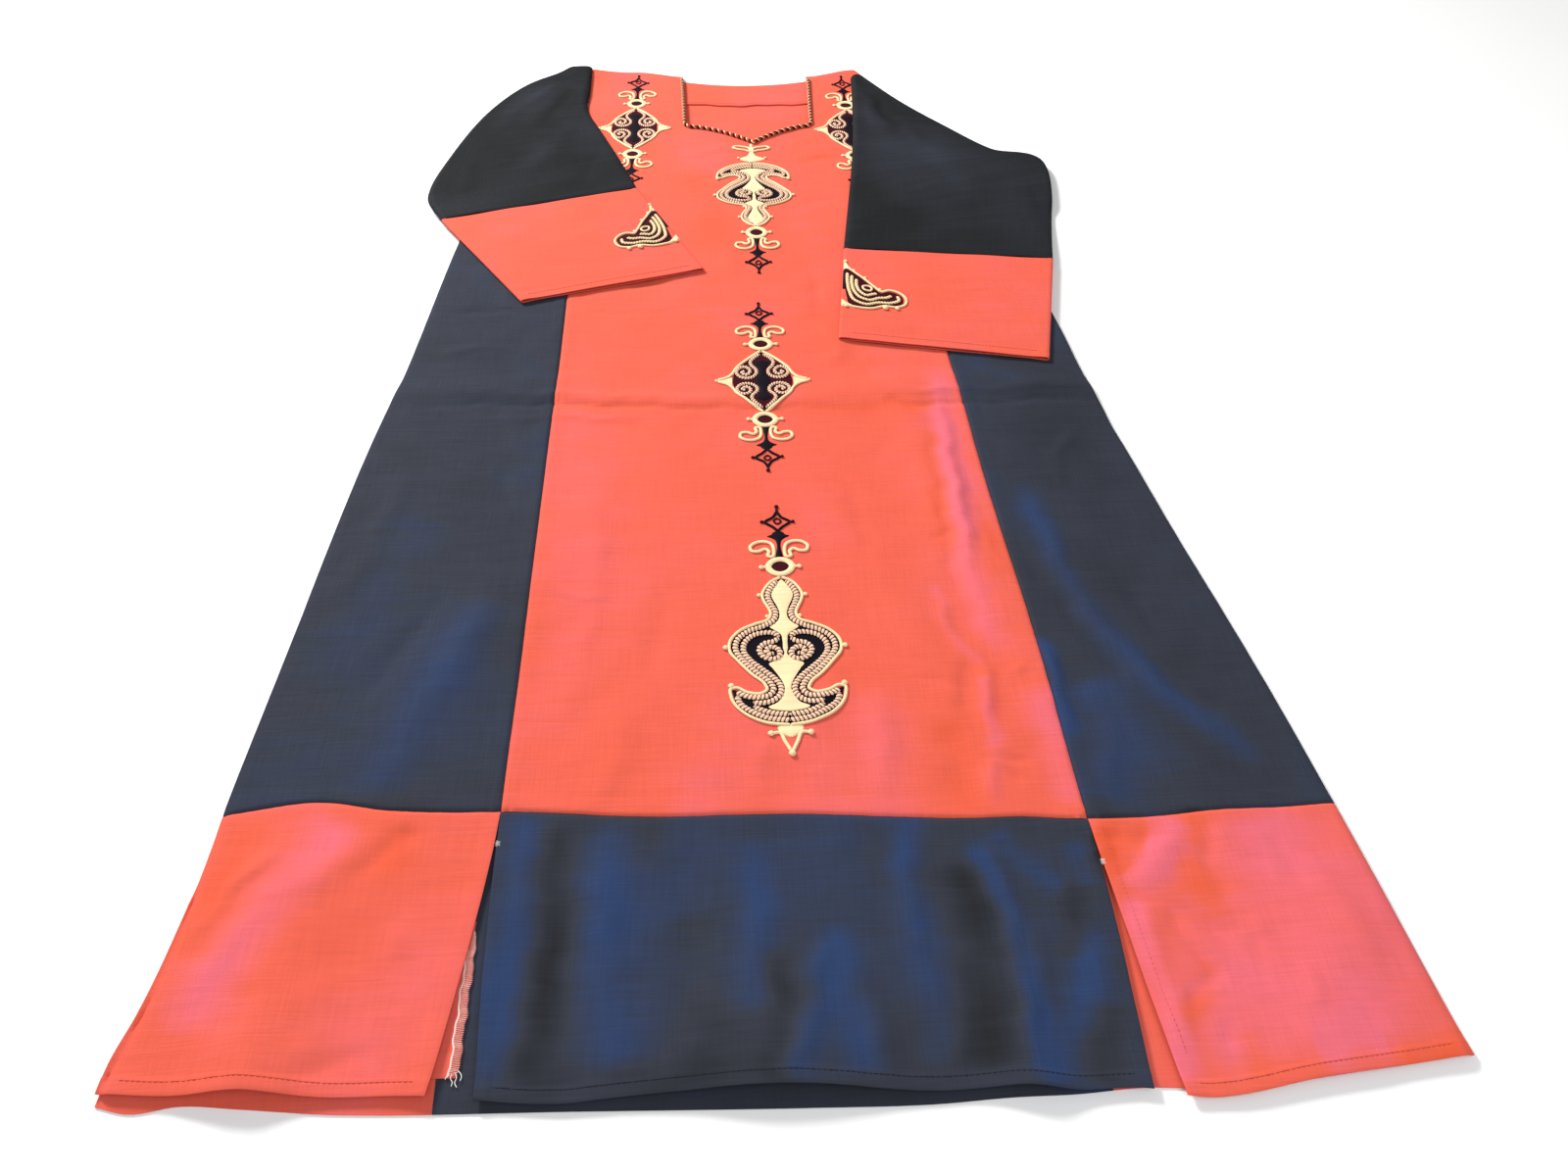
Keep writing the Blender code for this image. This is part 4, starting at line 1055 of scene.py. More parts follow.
def resting_on(across, up):
    """The height of what a sleeve lies on: the front and the hidden layers, sinking to the surface beyond."""
    outside = np.maximum(side_left(up) - across, across - side_right(up))
    beyond = np.maximum(seam_left(up) - across, across - seam_right(up))
    off = np.minimum(outside, underarm_up(beyond) - up)
    over_body = FRONT_HEIGHT * (1.0 - smooth_step((off - OVERHANG) / OVERHANG_FALL))
    return over_body + np.where(outside < 0.0, front_height(across, up) - FRONT_HEIGHT, 0.0)


def quarter_round(inside, roll):
    """From 0 at an edge to 1 a roll further in, along a quarter of a circle."""
    return np.sqrt(1.0 - (1.0 - np.clip(inside / roll, 0.0, 1.0)) ** 2)


def sleeve_relief(across, up):
    """Creases and slow waves of a sleeve's upper side."""
    x, y = wandered(across, up)
    waves = np.sin(x * 60.0 + 2.0 * np.sin(y * 21.0)) * np.sin(y * 33.0 + x * 20.0)
    return MM * drawn_lines(x, y, SLEEVE_CREASES) + SLEEVE_WAVES * waves


def make_sleeve(name, table):
    """A flattened tube: over its upper side from the inner to the outer edge, and back underneath."""
    stations = np.column_stack([np.linspace(0.0, 1.0, len(table)), table])
    where = steps(SLEEVE_LENGTH, cell=SLEEVE_CELL)
    inner_x, inner_y, outer_x, outer_y, stand = (along(stations, n, where)[:, None] for n in range(1, 6))
    edge = 0.5 - 0.5 * np.cos(np.linspace(0.0, math.pi, SLEEVE_POINTS))
    over = 0.65 * edge + 0.35 * np.linspace(0.0, 1.0, SLEEVE_POINTS)
    shares = np.concatenate([over, over[-2:0:-1]])
    upper = np.arange(len(shares)) < len(over)
    across = inner_x + (outer_x - inner_x) * shares
    up = inner_y + (outer_y - inner_y) * shares
    width = np.hypot(outer_x - inner_x, outer_y - inner_y)
    inside = np.minimum(shares, 1.0 - shares) * width
    rest = resting_on(across, up) + LIE_GAP
    top = rest + stand * (SLEEVE_LIP + (1.0 - SLEEVE_LIP) * quarter_round(inside, FOLD_ROLL))
    top = top + sleeve_relief(across, up) * smooth_step(inside / 0.012)
    to_ends = np.minimum(where, 1.0 - where)[:, None] * SLEEVE_LENGTH
    top = top - SEAM_DIP * np.exp(-((to_ends / SEAM_DIP_HALF) ** 2))
    low = rest + SLEEVE_LIFT + (stand * SLEEVE_LIP - SLEEVE_LIFT) * (1.0 - quarter_round(inside, UNDER_ROLL))
    way = np.sign((inner_x - outer_x).mean())
    across, up, height = left_to_right(way, across, up, np.where(upper, top, low))
    outer = points_at(across, up, height)
    inner = outer - SLEEVE_WALL * normals_of(outer, wrap=True)
    points, faces = layered(outer, inner, wrap=True)
    middle_row = outer[len(outer) // 2]
    girth = np.linalg.norm(np.diff(middle_row, axis=0, append=middle_row[:1]), axis=1)
    run = np.concatenate([[0.0], np.cumsum(girth)[:-1]])
    uv = np.stack(np.broadcast_arrays(run[None, :], where[:, None] * SLEEVE_LENGTH), axis=-1).reshape(-1, 2)
    uv = np.tile(uv, (2, 1))
    # Painted sheen on the ridges, painted shade in the creases, and the whole sleeve darkened by painted
    # shade.
    patch = np.tile((drawn_lines(*wandered(across, up), SLEEVE_SHEEN_AND_SHADE) + SLEEVE_PAINTED_SHADE).ravel(), 2)
    return add_piece(name, points, faces, uv, [navy_cotton], around=girth.sum(), patch=patch)


SLEEVES = (("left", LEFT_SLEEVE, (0.50, 0.44), 0.115), ("right", RIGHT_SLEEVE, (0.54, 0.46), 0.150))
for side, table, flat, area in SLEEVES:
    sleeve = make_sleeve(f"sleeve_{side}_cloth", table)
    nodes = [f"sleeve_{side}", f"sleeve_{side}_under"]
    declare(sleeve, nodes)


# Cuffs
# Deep bands of coral cotton sewn to the sleeve ends: each a flattened tube, so that its mouth shows
# two layers one above the other, soft and slightly open, with the front in their shade.
CUFF_HALF_HEIGHT, CUFF_ROLL, CUFF_TURN = 0.0020, 0.004, 0.010
CUFF_MOUTH, MOUTH_CLOSE, MOUTH_UNEVEN, MOUTH_HELD = 0.03, 0.0007, 0.3, 0.6
CUFF_DEPTH, CUFF_POINTS, CUFF_WALL, CUFF_WAVES = 0.18, 60, 0.0009, 0.0003
CUFF_SEAM_DIP = 0.0005
# Inner corner at the seam, outer corner at the seam, outer and inner corner at the mouth, in metres
LEFT_CUFF = np.array([(-0.138, 1.047), (-0.356, 0.978), (-0.250, 0.812), (-0.060, 0.870)])
RIGHT_CUFF = np.array([(0.094, 0.907), (0.323, 0.882), (0.281, 0.698), (0.0745, 0.7385)])
CUFF_CREASES = (
    (0.6, 10, (-300, 960), (-250, 930), (-190, 940)),
    (-0.5, 8, (-240, 890), (-180, 880), (-120, 900)),
    (0.5, 9, (-170, 860), (-110, 880)),
    (-0.5, 6, (-106, 930), (-90, 900), (-78, 884)),
    (0.6, 8, (150, 850), (200, 842), (250, 850)),
    (-0.6, 6, (160, 812), (190, 796), (226, 800)),
    (0.5, 6, (190, 826), (218, 822), (246, 834)),
    (-0.4, 5, (180, 770), (216, 756), (250, 762)),
    (0.5, 10, (110, 770), (160, 752), (220, 742)),
)


def cuff_relief(across, up):
    """Creases and slow waves of a cuff's upper layer."""
    x, y = wandered(across, up)
    waves = np.sin(x * 75.0 + 2.0 * np.sin(y * 30.0)) * np.sin(y * 52.0)
    return MM * drawn_lines(x, y, CUFF_CREASES) + CUFF_WAVES * waves


def cuff_mouth(to_mouth, share, inside):
    """How far a layer comes in towards the other one at the mouth, unevenly along it, as a height."""
    uneven = (1.0 + MOUTH_UNEVEN * np.sin(share * 9.0)) * smooth_step(inside / 0.02)
    return MOUTH_CLOSE * smooth_step(1.0 - to_mouth / CUFF_MOUTH) * uneven


def cuff_creased(across, up, to_mouth, inside):
    """The upper layer's creases, which fade at the folds and are held flatter by the mouth's hem."""
    held = 1.0 - MOUTH_HELD * smooth_step(1.0 - to_mouth / CUFF_MOUTH)
    return cuff_relief(across, up) * smooth_step(inside / 0.014) * held


def make_cuff(name, corners, face):
    """One layer of the tube, upper (face 1) or under (face -1), turned in to its neighbour at both folds."""
    seam_in, seam_out, mouth_out, mouth_in = corners
    gap = SEAM_GAP / np.linalg.norm(mouth_in - seam_in)
    down = (gap + (1.0 - gap) * steps(CUFF_DEPTH))[:, None]
    start, end = seam_in + (mouth_in - seam_in) * down, seam_out + (mouth_out - seam_out) * down
    width = np.linalg.norm(end - start, axis=1)
    turns = np.radians(np.linspace(0.0, 90.0, 7))
    run = np.linspace(0.0, 1.0, CUFF_POINTS)[1:-1]
    fold_in = CUFF_ROLL * (np.cos(turns) - 1.0)
    level = CUFF_HALF_HEIGHT * np.concatenate([np.sin(turns), np.ones(len(run)), np.sin(turns[::-1])])
    places = np.concatenate([0.0 * turns, run, 0.0 * turns + 1.0])
    bulge = np.concatenate([-fold_in, 0.0 * run, fold_in[::-1]])
    share = places[None, :] + bulge[None, :] / width[:, None]
    spot = start[:, None, :] + (end - start)[:, None, :] * share[..., None]
    across, up = spot[..., 0], spot[..., 1]
    inside = np.minimum(share, 1.0 - share) * width[:, None]
    middle = resting_on(across, up) + LIE_GAP + CUFF_HALF_HEIGHT
    to_mouth, to_seam = CUFF_DEPTH * (1.0 - down), CUFF_DEPTH * down
    relief = cuff_creased(across, up, to_mouth, inside) if face > 0 else 0.0 * across
    mouth = -face * cuff_mouth(to_mouth, share, inside)
    hem = turned_edge(to_mouth + 0.0 * share, CUFF_TURN) * smooth_step(inside / 0.01)
    seam = -CUFF_SEAM_DIP * np.exp(-((to_seam / SEAM_DIP_HALF) ** 2)) * smooth_step(inside / 0.01)
    height = level * face + face * SEAM_GAP / 2 + relief + mouth + max(face, 0.0) * (hem + seam)
    outer = points_at(across, up, middle + height)
    if (seam_out[0] - seam_in[0]) * face > 0.0:
        outer, across, up = outer[::-1], across[::-1], up[::-1]
    inner = outer - CUFF_WALL * normals_of(outer)
    points, faces = layered(outer, inner)
    uv = np.tile(np.stack([across, up], axis=-1).reshape(-1, 2), (2, 1))
    return add_piece(name, points, faces, uv, [coral_cotton], patch=np.zeros(len(points)))


for side, corners in (("left", LEFT_CUFF), ("right", RIGHT_CUFF)):
    for label, face in (("", 1.0), ("_under", -1.0)):
        cuff, nodes = make_cuff(f"cuff_{side}{label}_cloth", corners, face), [f"cuff_{side}{label}"]
        declare(cuff, nodes)


# Neck cord
# Three strands of thread, cream, black and coral, twisted into a thin rope and sewn down by hand round
# the front neck edge: down its left side, along both curves to the point, and up its right side.
CORD_RADIUS, CORD_SET_IN, CORD_RISE, CORD_CORNER = 0.0022, 0.0022, 0.138, 0.006
CORD_STEP, CORD_CELL, CORD_CURVE_REACH = 0.00285, 0.00055, 0.94
HALF_STRAND = 0.1667


def laid_cord(
    path, wide, high, around=8, closed=False, strands=0, step=None, slant=0.0, depth=0.25, sink=0.25, dip=0.0
):
    """A closed round body along a path on the cloth. Each ring is an oval, narrowed at the ends by a quarter
    round, and in its grooves by the cosine of the strands' turn less the run over the step. Where dip is
    given, the body sinks into the cloth by that much at each groove. The lift is measured from the cloth."""
    path = np.asarray(path, float)[:-1] if closed else np.asarray(path, float)
    run = np.concatenate([[0.0], np.cumsum(np.hypot(*np.diff(path, axis=0).T))])[:, None]
    slopes = np.roll(path, -1, 0) - np.roll(path, 1, 0) if closed else np.gradient(path, axis=0)
    slopes = slopes / np.linalg.norm(slopes, axis=1, keepdims=True)
    turn = (2.0 * math.pi / around) * np.arange(around)[None, :]
    groove = np.ones((len(path), around))
    if step is not None:
        groove = np.abs(np.cos(0.5 * strands * turn - math.pi * run / step + slant * np.cos(turn)))
    size = 1.0 - depth * (1.0 - groove**0.7)
    if not closed:
        size = size * np.maximum(quarter_round(np.minimum(run, run[-1] - run), wide), 0.2)
    x = path[:, :1] - slopes[:, 1:] * wide * size * np.cos(turn)
    y = path[:, 1:] + slopes[:, :1] * wide * size * np.cos(turn)
    lift = high * (size * np.sin(turn) + 1.0 - sink) - dip * (1.0 - groove) ** 2
    number = np.arange(groove.size).reshape(groove.shape)
    here, beyond = (number, np.roll(number, -1, 0)) if closed else (number[:-1], number[1:])
    faces = np.stack([here, np.roll(here, -1, 1), np.roll(beyond, -1, 1), beyond], axis=-1).reshape(-1, 4)
    if not closed:
        k = np.arange(around // 2 - 1)
        cap = np.column_stack([k, k + 1, around - 2 - k, around - 1 - k])
        faces = np.concatenate([faces, number[0][cap[:, ::-1]], number[-1][cap]])
    uv = np.stack(np.broadcast_arrays(turn / (2.0 * math.pi), run), axis=-1).reshape(-1, 2)
    return np.stack([x, y, lift], axis=-1).reshape(-1, 3), faces, uv, groove.ravel()


def cord_route():
    """The neck edge's own route, set in by the cord's seam: two sides, two soft corners, two curves."""
    rise = np.linspace(CORD_RISE, CORD_CORNER, 12)
    left = np.column_stack([NECK_LEFT - CORD_SET_IN - rise * NECK_FLARE, NECK_CORNER_UP + rise])
    right = np.column_stack([NECK_RIGHT + CORD_SET_IN + rise * NECK_FLARE, NECK_CORNER_UP + rise])
    share = np.linspace(-CORD_CURVE_REACH, CORD_CURVE_REACH, 31)
    half = np.where(share < 0.0, NECK_POINT - NECK_LEFT, NECK_RIGHT - NECK_POINT)
    low = NECK_CORNER_UP - CORD_SET_IN - NECK_DROP * (1.0 - np.abs(share)) ** NECK_CURVE
    point = np.column_stack([NECK_POINT + half * share, low])
    return curve(np.concatenate([left, point, right[::-1]]), CORD_CELL)


def make_laid_thread():
    """Laid thread: its colour on the crowns, a darker colour painted in the grooves as shade, and fine
    fibres along it.
    """
    tree, given, put = group_of(
        "laid_thread",
        (("Map", "Vector"), ("Groove", "Float"), ("Thread", "Color"), ("Groove shade", "Color")),
        (("Color", "Color"), ("Roughness", "Float"), ("Height", "Float")),
    )
    fibres = noise(tree, given.outputs["Map"], (9.0, 420.0), 3.0)
    worn = worked(tree, "MULTIPLY", noise(tree, given.outputs["Map"], (2.0, 60.0)), 0.6)
    crown = worked(tree, "MULTIPLY_ADD", given.outputs["Groove"], 3.4, -1.0, clamp=True)
    tone = mixed(tree, crown, given.outputs["Groove shade"], given.outputs["Thread"])
    shade = worked(tree, "MULTIPLY_ADD", worked(tree, "ADD", fibres, worn), 0.42, 0.66)
    tree.links.new(mixed(tree, 1.0, tone, grey_of(tree, shade), "MULTIPLY"), put.inputs["Color"])
    tree.links.new(worked(tree, "MULTIPLY_ADD", fibres, 0.2, 0.5), put.inputs["Roughness"])
    tree.links.new(fibres, put.inputs["Height"])
    return tree


laid_thread = make_laid_thread()


def thread(name, colour, gap, twist=None):
    """Thread in one colour, or where twist gives them, in strands whose colours change with turn and run. Its
    gap colour is painted shade in the grooves.
    """
    made, look = mapped_material(
        name, laid_thread, "groove", "Groove", bump_distance=0.0003, bump_strength=0.5, gloss=0.04
    )
    look.inputs["Thread"].default_value = (*colour, 1.0)
    look.inputs["Groove shade"].default_value = (*gap, 1.0)
    if twist is not None:
        tree = made.node_tree
        apart = tree.nodes.new("ShaderNodeSeparateXYZ")
        tree.links.new(look.inputs["Map"].links[0].from_socket, apart.inputs[0])
        turns = worked(tree, "DIVIDE", apart.outputs[1], 3.0 * CORD_STEP)
        turned = worked(tree, "SUBTRACT", apart.outputs[0], turns)
        strand = worked(tree, "FRACT", worked(tree, "ADD", turned, HALF_STRAND))
        colours = tree.nodes.new("ShaderNodeValToRGB")
        colours.color_ramp.interpolation = "CONSTANT"
        for place, shade in zip((1.0 / 3.0, 2.0 / 3.0), twist):
            colours.color_ramp.elements.new(place).color = (*shade, 1.0)
        colours.color_ramp.elements[0].color = (*colour, 1.0)
        colours.color_ramp.elements[3].color = (*twist[1], 1.0)
        tree.links.new(strand, colours.inputs[0])
        tree.links.new(colours.outputs[0], look.inputs["Thread"])
    return made


CREAM, BLACK = (0.84, 0.66, 0.38), (0.006, 0.004, 0.008)
# The cord's dark gap colour is painted shade between its twisted strands.
cord_strands = thread("twisted_cord_strands", CREAM, (0.10, 0.018, 0.012), twist=(BLACK, (0.50, 0.06, 0.035)))


def sew_on(
    name, pieces, materials, lies_on, start=(0.0, 0.0), sideways=(1.0, 0.0), onward=(0.0, 1.0), unit=1.0
):
    """One object from laid pieces: each place is the start, plus its sideways part and its onward part, and
    each height is that of the cloth there plus the lift."""
    first = np.cumsum([0] + [len(piece[0]) for piece in pieces[:-1]])
    shifted = ((laid[0], laid[1] + offset, laid[2], laid[3]) for laid, offset in zip(pieces, first))
    points, faces, uv, groove = (np.concatenate(parts) for parts in zip(*shifted))
    numbers = np.concatenate([np.full(len(piece[1]), piece[4] if len(piece) > 4 else 0) for piece in pieces])
    across = start[0] + unit * (points[:, 0] * sideways[0] + points[:, 1] * onward[0])
    up = start[1] + unit * (points[:, 0] * sideways[1] + points[:, 1] * onward[1])
    if sideways[0] * onward[1] - sideways[1] * onward[0] < 0.0:
        faces = faces[:, ::-1]
    placed = points_at(across, up, lies_on(across, up) + unit * points[:, 2])
    made = add_piece(name, placed, faces, uv * (1.0, unit), materials, numbers, around=1.0, groove=groove)
    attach(made, "root")
    return made


neck_rope = laid_cord(
    cord_route(), CORD_RADIUS, CORD_RADIUS, around=12, strands=3, step=CORD_STEP, depth=0.22, sink=0.12
)
neck_cord = sew_on("neck_cord_twisted", [neck_rope], [cord_strands], front_height)
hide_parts("neck_cord")


# Embroidery
# Motifs in cream, pale pink, black and wine thread: round cords sewn down along every outline, rows of
# short stitches over a padding thread, flat satin fills, and a little knot where a line ends.
# Places are in millimetres: off the motif's middle line, then along it from its tip.
SPUR_CROSS = ((0, 6.8), (3.2, 13.5), (10.4, 19.8), (4, 26), (0, 31))
SPURS = (((0, 7), (0, 0.6)), ((10, 19.8), (13.4, 19.8)))
SMALL_LOOP = ((0, 15.6), (3, 18.6), (0, 22.2), (-3, 18.6), (0, 15.6))
STAR = (
    (30.5, 1.2), (32.5, 4.6), (35, 6), (36.2, 9.2), (37.4, 9.2), (39.4, 5.6), (42, 2.8), (46, 1.7),
    (53, 1.8), (58, 2.6), (64, 3.4),
)
HOOK = (
    (6.5, 62), (4.4, 54), (6.5, 46.6), (13, 43.6), (20, 45), (24, 49.5), (22.5, 54.5), (17, 55),
    (11.5, 52.5), (8.6, 55.5), (9.5, 61), (6.5, 62),
)
RING = (
    (0, 64.9), (6.4, 67.2), (9.8, 73.3), (6.4, 79.4), (0, 81.8), (-6.4, 79.4), (-9.8, 73.3), (-6.4, 67.2),
    (0, 64.9),
)
RING_EYE = ((66, 2), (69, 6), (73.3, 8), (77.5, 6), (80.6, 2))
LAMP_OUTLINE = (
    (0.5, 85.5), (8, 90), (12.6, 96), (16, 105.5), (14.6, 112), (12, 118), (10, 125), (11.8, 130.5),
    (23, 136), (35.3, 143), (42.4, 153), (42.8, 163), (36, 174), (26.5, 186), (17, 196), (15.6, 200.5),
    (20, 204.2), (30, 203.4), (39, 198.6), (42.4, 199.4), (42.6, 207), (39.5, 215), (33.2, 222.5),
    (19.3, 230.8), (0, 234.2),
)
LAMP_ROWS = (
    ((3.6, 89.8), (9, 97.5), (11.6, 105.5), (9.4, 115), (6, 124.6), (7.7, 131.4), (15.2, 137.4),
     (28.3, 143.4), (36.4, 151.2), (38.4, 160.5), (33.6, 171.5), (23, 184), (12.6, 195.2), (10.8, 200.4),
     (14, 206.2), (22, 208.2), (31, 207), (38.4, 202.8)),
    ((4.1, 149.4), (8.3, 145.6), (16.7, 144.9), (25.2, 147.8), (31.4, 155.3), (32.2, 163.4),
     (27.5, 172.3), (18.4, 181.6), (10, 190), (5.2, 198.4), (5.9, 205.6), (11.7, 211.4), (19.5, 213.6),
     (26.6, 213.2)),
    ((4.6, 150.8), (9, 154), (15.4, 155.6), (20, 161.4), (17.8, 168.4), (11.4, 171.6), (5.6, 169.8),
     (4.4, 164.9), (7.4, 160.6), (12.2, 159.8), (14.8, 163.2), (12, 166.6), (9.2, 165.2)),
    ((38.4, 206.4), (36, 213.6), (27.8, 221.2), (16.5, 227.2), (0, 229.8)),
    ((26.4, 217), (18, 221.2), (9, 223.8), (0, 224.4)),
)
LAMP_FILL = (
    (88, 0.8), (93, 4.6), (98, 7.8), (104.5, 9.6), (110, 8.2), (117, 5.2), (124, 3.4), (130, 4.2),
    (135, 8.2), (138.4, 12.6), (141.5, 9.4), (146, 3.8), (152, 2.3), (160, 2.2), (168, 2.5), (172.5, 9.6),
    (175.3, 14.6), (180, 12.2), (186, 8.4), (193, 4.6), (200, 2.8), (206, 4.8), (213, 9.5), (218, 17),
    (220.6, 9), (221.6, 1),
)
LAMP_GROUND = (
    (87, 1), (93, 9), (105, 14.5), (112, 13), (118, 10.5), (125, 8.6), (131, 10.5), (136, 21),
    (143, 33.5), (153, 41), (163, 41.4), (174, 34.5), (186, 25), (196, 15.6), (200.5, 14.2), (204, 18),
)
FLUKE_GROUND = (
    ((0, 204), (16, 205), (24, 205), (33, 203), (41, 200)),
    ((0, 232.6), (19, 229.2), (32.4, 221.2), (38.6, 214), (41.6, 201.5)),
)
LAMP_KNOTS = ((18.6, 105, 1.9), (12.8, 128, 1.8), (46, 159.5, 2.2), (42.4, 197, 2.4))
PENDANT_FILL = ((234.5, 9.5), (238, 9), (242, 6), (245, 1))
PENDANT_LINE = ((14, 241.5), (8.4, 240.8), (4.5, 249), (0.5, 257.6))
PENDANT_KNOTS = ((14.4, 241.6, 2.4), (0, 259.6, 2.7))
BOW_LOOP = (
    (1.6, 279), (8, 282), (17, 284.5), (22.6, 288.4), (20, 291.8), (11, 291), (3, 287.4), (1.6, 279),
)
BOW_FILL = (
    (252, 2), (256, 9.5), (261.5, 15.5), (263.5, 13), (268, 6), (274, 3.4), (283, 2.8), (292, 2),
    (299, 1.8),
)
DIAMOND_OUTLINE = (
    (0.8, -48), (10, -41), (20, -31.5), (30, -20), (33.8, -12), (38, -7), (44, -3.6), (50.4, -1.6),
)
DIAMOND_ROW = (
    (2, -43), (8.5, -37.5), (13.2, -30), (11.5, -23.5), (7.4, -18), (6.8, -12), (10.5, -6.8), (18, -4.4),
    (26, -7.3), (29.3, -13.6), (26.5, -20), (20, -22.4), (14.6, -18.2), (14.8, -12.4), (19.6, -10),
    (23, -13.4), (20.4, -16.4),
)
DIAMOND_FILL = (
    (-33, 2), (-30.5, 9), (-27.5, 9.4), (-22, 5.8), (-16, 4.2), (-10, 5), (-4, 9), (0, 9.6), (4, 9),
    (10, 5), (16, 4.2), (22, 5.8), (27.5, 9.4), (30.5, 9), (33, 2),
)
DIAMOND_GROUND = (
    (-47, 1), (-40, 9), (-30, 19.5), (-20, 28.6), (-10, 32.4), (0, 33.6), (10, 32.4), (20, 28.6),
    (30, 19.5), (40, 9), (47, 1),
)
SPUR_FILL = (
    ((34.5, -7), (38, -5.8), (42, -3.8), (46, -2.2), (51.5, -1.9)),
    ((34.5, 7), (38, 5.8), (42, 3.8), (46, 2.2), (51.5, 1.9)),
)
DIAMOND_NARROW, TALL_LENGTH = 0.86, 267.0
PALE, WINE = (0.86, 0.57, 0.39), (0.042, 0.003, 0.008)
CREAM_THREAD, PALE_THREAD, BLACK_THREAD, WINE_THREAD = range(4)
ROW_STEP, LONGEST_STEP = 3.1, 0.9
PAD_COLUMNS, PAD_SINK = 9, 0.25
KNOT_POINTS, KNOT_HEIGHT = 9, 0.62


def line_of(points, thread_number, wide, high=0.95):
    """A cord along given points, in one thread."""
    path = curve(points, min(LONGEST_STEP, 0.6 * wide))
    return (*laid_cord(path, wide, high), thread_number)


def ring_of(points, thread_number, wide, high=1.0):
    """A cord that closes on itself: its last point is its first."""
    path = curve(points[:-1], min(LONGEST_STEP, 0.6 * wide), closed=True)
    return (*laid_cord(path, wide, high, closed=True), thread_number)


def row_of(points, wide=2.35, high=1.1, thread_number=PALE_THREAD):
    """A row of short slanting stitches over a padding thread."""
    path = curve(points, ROW_STEP / 6.0)
    return (*laid_cord(path, wide, high, step=ROW_STEP, slant=0.55, depth=0.5), thread_number)


def knot_at(off, along_it, size, thread_number=CREAM_THREAD):
    """A small knot, a ball flattened on the cloth."""
    places = along_it + size * np.cos(np.linspace(math.pi, 0.0, KNOT_POINTS))
    path = np.column_stack([np.full(KNOT_POINTS, off), places])
    return (*laid_cord(path, size, KNOT_HEIGHT * size), thread_number)


def pad_between(left, right, thread_number, crown):
    """A low pad between two edges, crowned as half an oval across, closed underneath."""
    share = np.linspace(-1.0, 1.0, PAD_COLUMNS)
    count = max(len(left), len(right))
    middle, half = 0.5 * (left + right)[:count, None], 0.5 * (right - left)[:count, None]
    flat = middle + half * share[None, :, None]
    round_over = np.sqrt(np.maximum(1.0 - share**2, 0.0))[None, :] * np.ones((count, 1))
    narrow = np.clip(np.linalg.norm(half[..., 0, :], axis=-1) / 2.0, 0.2, 1.0)[:, None]
    top = np.concatenate([flat, (crown * round_over * narrow)[..., None]], axis=-1)
    under = np.concatenate([flat, np.full((count, PAD_COLUMNS, 1), -PAD_SINK)], axis=-1)
    points, faces = layered(top, under)
    uv = np.stack([0.5 + 0.0 * round_over, flat[..., 1]], axis=-1).reshape(-1, 2)
    return points, faces, np.tile(uv, (2, 1)), np.ones(len(points)), thread_number


def fill_of(table, thread_number, crown):
    """A satin fill on the middle line from a table of places along it and half widths."""
    table = np.array(table, float)
    where = np.linspace(table[0, 0], table[-1, 0], int((table[-1, 0] - table[0, 0]) / 0.8) + 2)
    half = np.maximum(along(table, 1, where), 0.4)
    return pad_between(np.column_stack([-half, where]), np.column_stack([half, where]), thread_number, crown)


def flat_between(left, right, thread_number, crown=0.3):
    """A fill between two given edges."""
    left, right = (curve(edge, 0.1) for edge in (left, right))
    picks = [np.round(np.linspace(0, len(edge) - 1, 40)).astype(int) for edge in (left, right)]
    return pad_between(left[picks[0]], right[picks[1]], thread_number, crown)


def other_side(laid):
    """The same piece on the other side of the middle line."""
    points, faces, uv, groove, thread_number = laid
    return points * (-1.0, 1.0, 1.0), faces[:, ::-1], uv, groove, thread_number


def end_for_end(laid, length):
    """The same piece turned end for end."""
    points, faces, uv, groove, thread_number = laid
    return points * (1.0, -1.0, 1.0) + (0.0, length, 0.0), faces[:, ::-1], uv, groove, thread_number


def both(laid):
    """The piece and its mirror image over the middle line."""
    return [laid, other_side(laid)]


def finial():
    """A motif's end: an open cross, a star on a stem, two hooks and a ring with an eye."""
    laid = both(line_of(SPUR_CROSS, BLACK_THREAD, 1.35, 0.7)) + [line_of(SPURS[0], WINE_THREAD, 1.2, 0.7)]
    laid += both(line_of(SPURS[1], WINE_THREAD, 1.2, 0.7)) + both(knot_at(13.2, 19.8, 1.7, WINE_THREAD))
    laid += [knot_at(0, 1.2, 1.9, WINE_THREAD), ring_of(SMALL_LOOP, WINE_THREAD, 0.9, 0.6)]
    laid += [fill_of(STAR, BLACK_THREAD, 0.7), fill_of(RING_EYE, WINE_THREAD, 0.3)]
    laid += both(ring_of(HOOK, CREAM_THREAD, 1.45)) + [ring_of(RING, CREAM_THREAD, 2.6, 1.0)]
    laid += both(line_of(((9.5, 73.3), (14.6, 73.6)), CREAM_THREAD, 1.4))
    return laid + both(knot_at(15.6, 73.8, 2.1))


def lamp():
    """The tall lamp shape: a dark ground, a cream middle, rows of stitches and a cream outline."""
    laid = [fill_of(LAMP_GROUND, BLACK_THREAD, 0.28), fill_of(LAMP_FILL, CREAM_THREAD, 0.85)]
    laid += both(flat_between(*FLUKE_GROUND, BLACK_THREAD))
    for row in LAMP_ROWS:
        laid += both(row_of(row))
    laid += both(line_of(LAMP_OUTLINE, CREAM_THREAD, 1.3, 1.0))
    for knot in LAMP_KNOTS:
        laid += both(knot_at(*knot))
    return laid


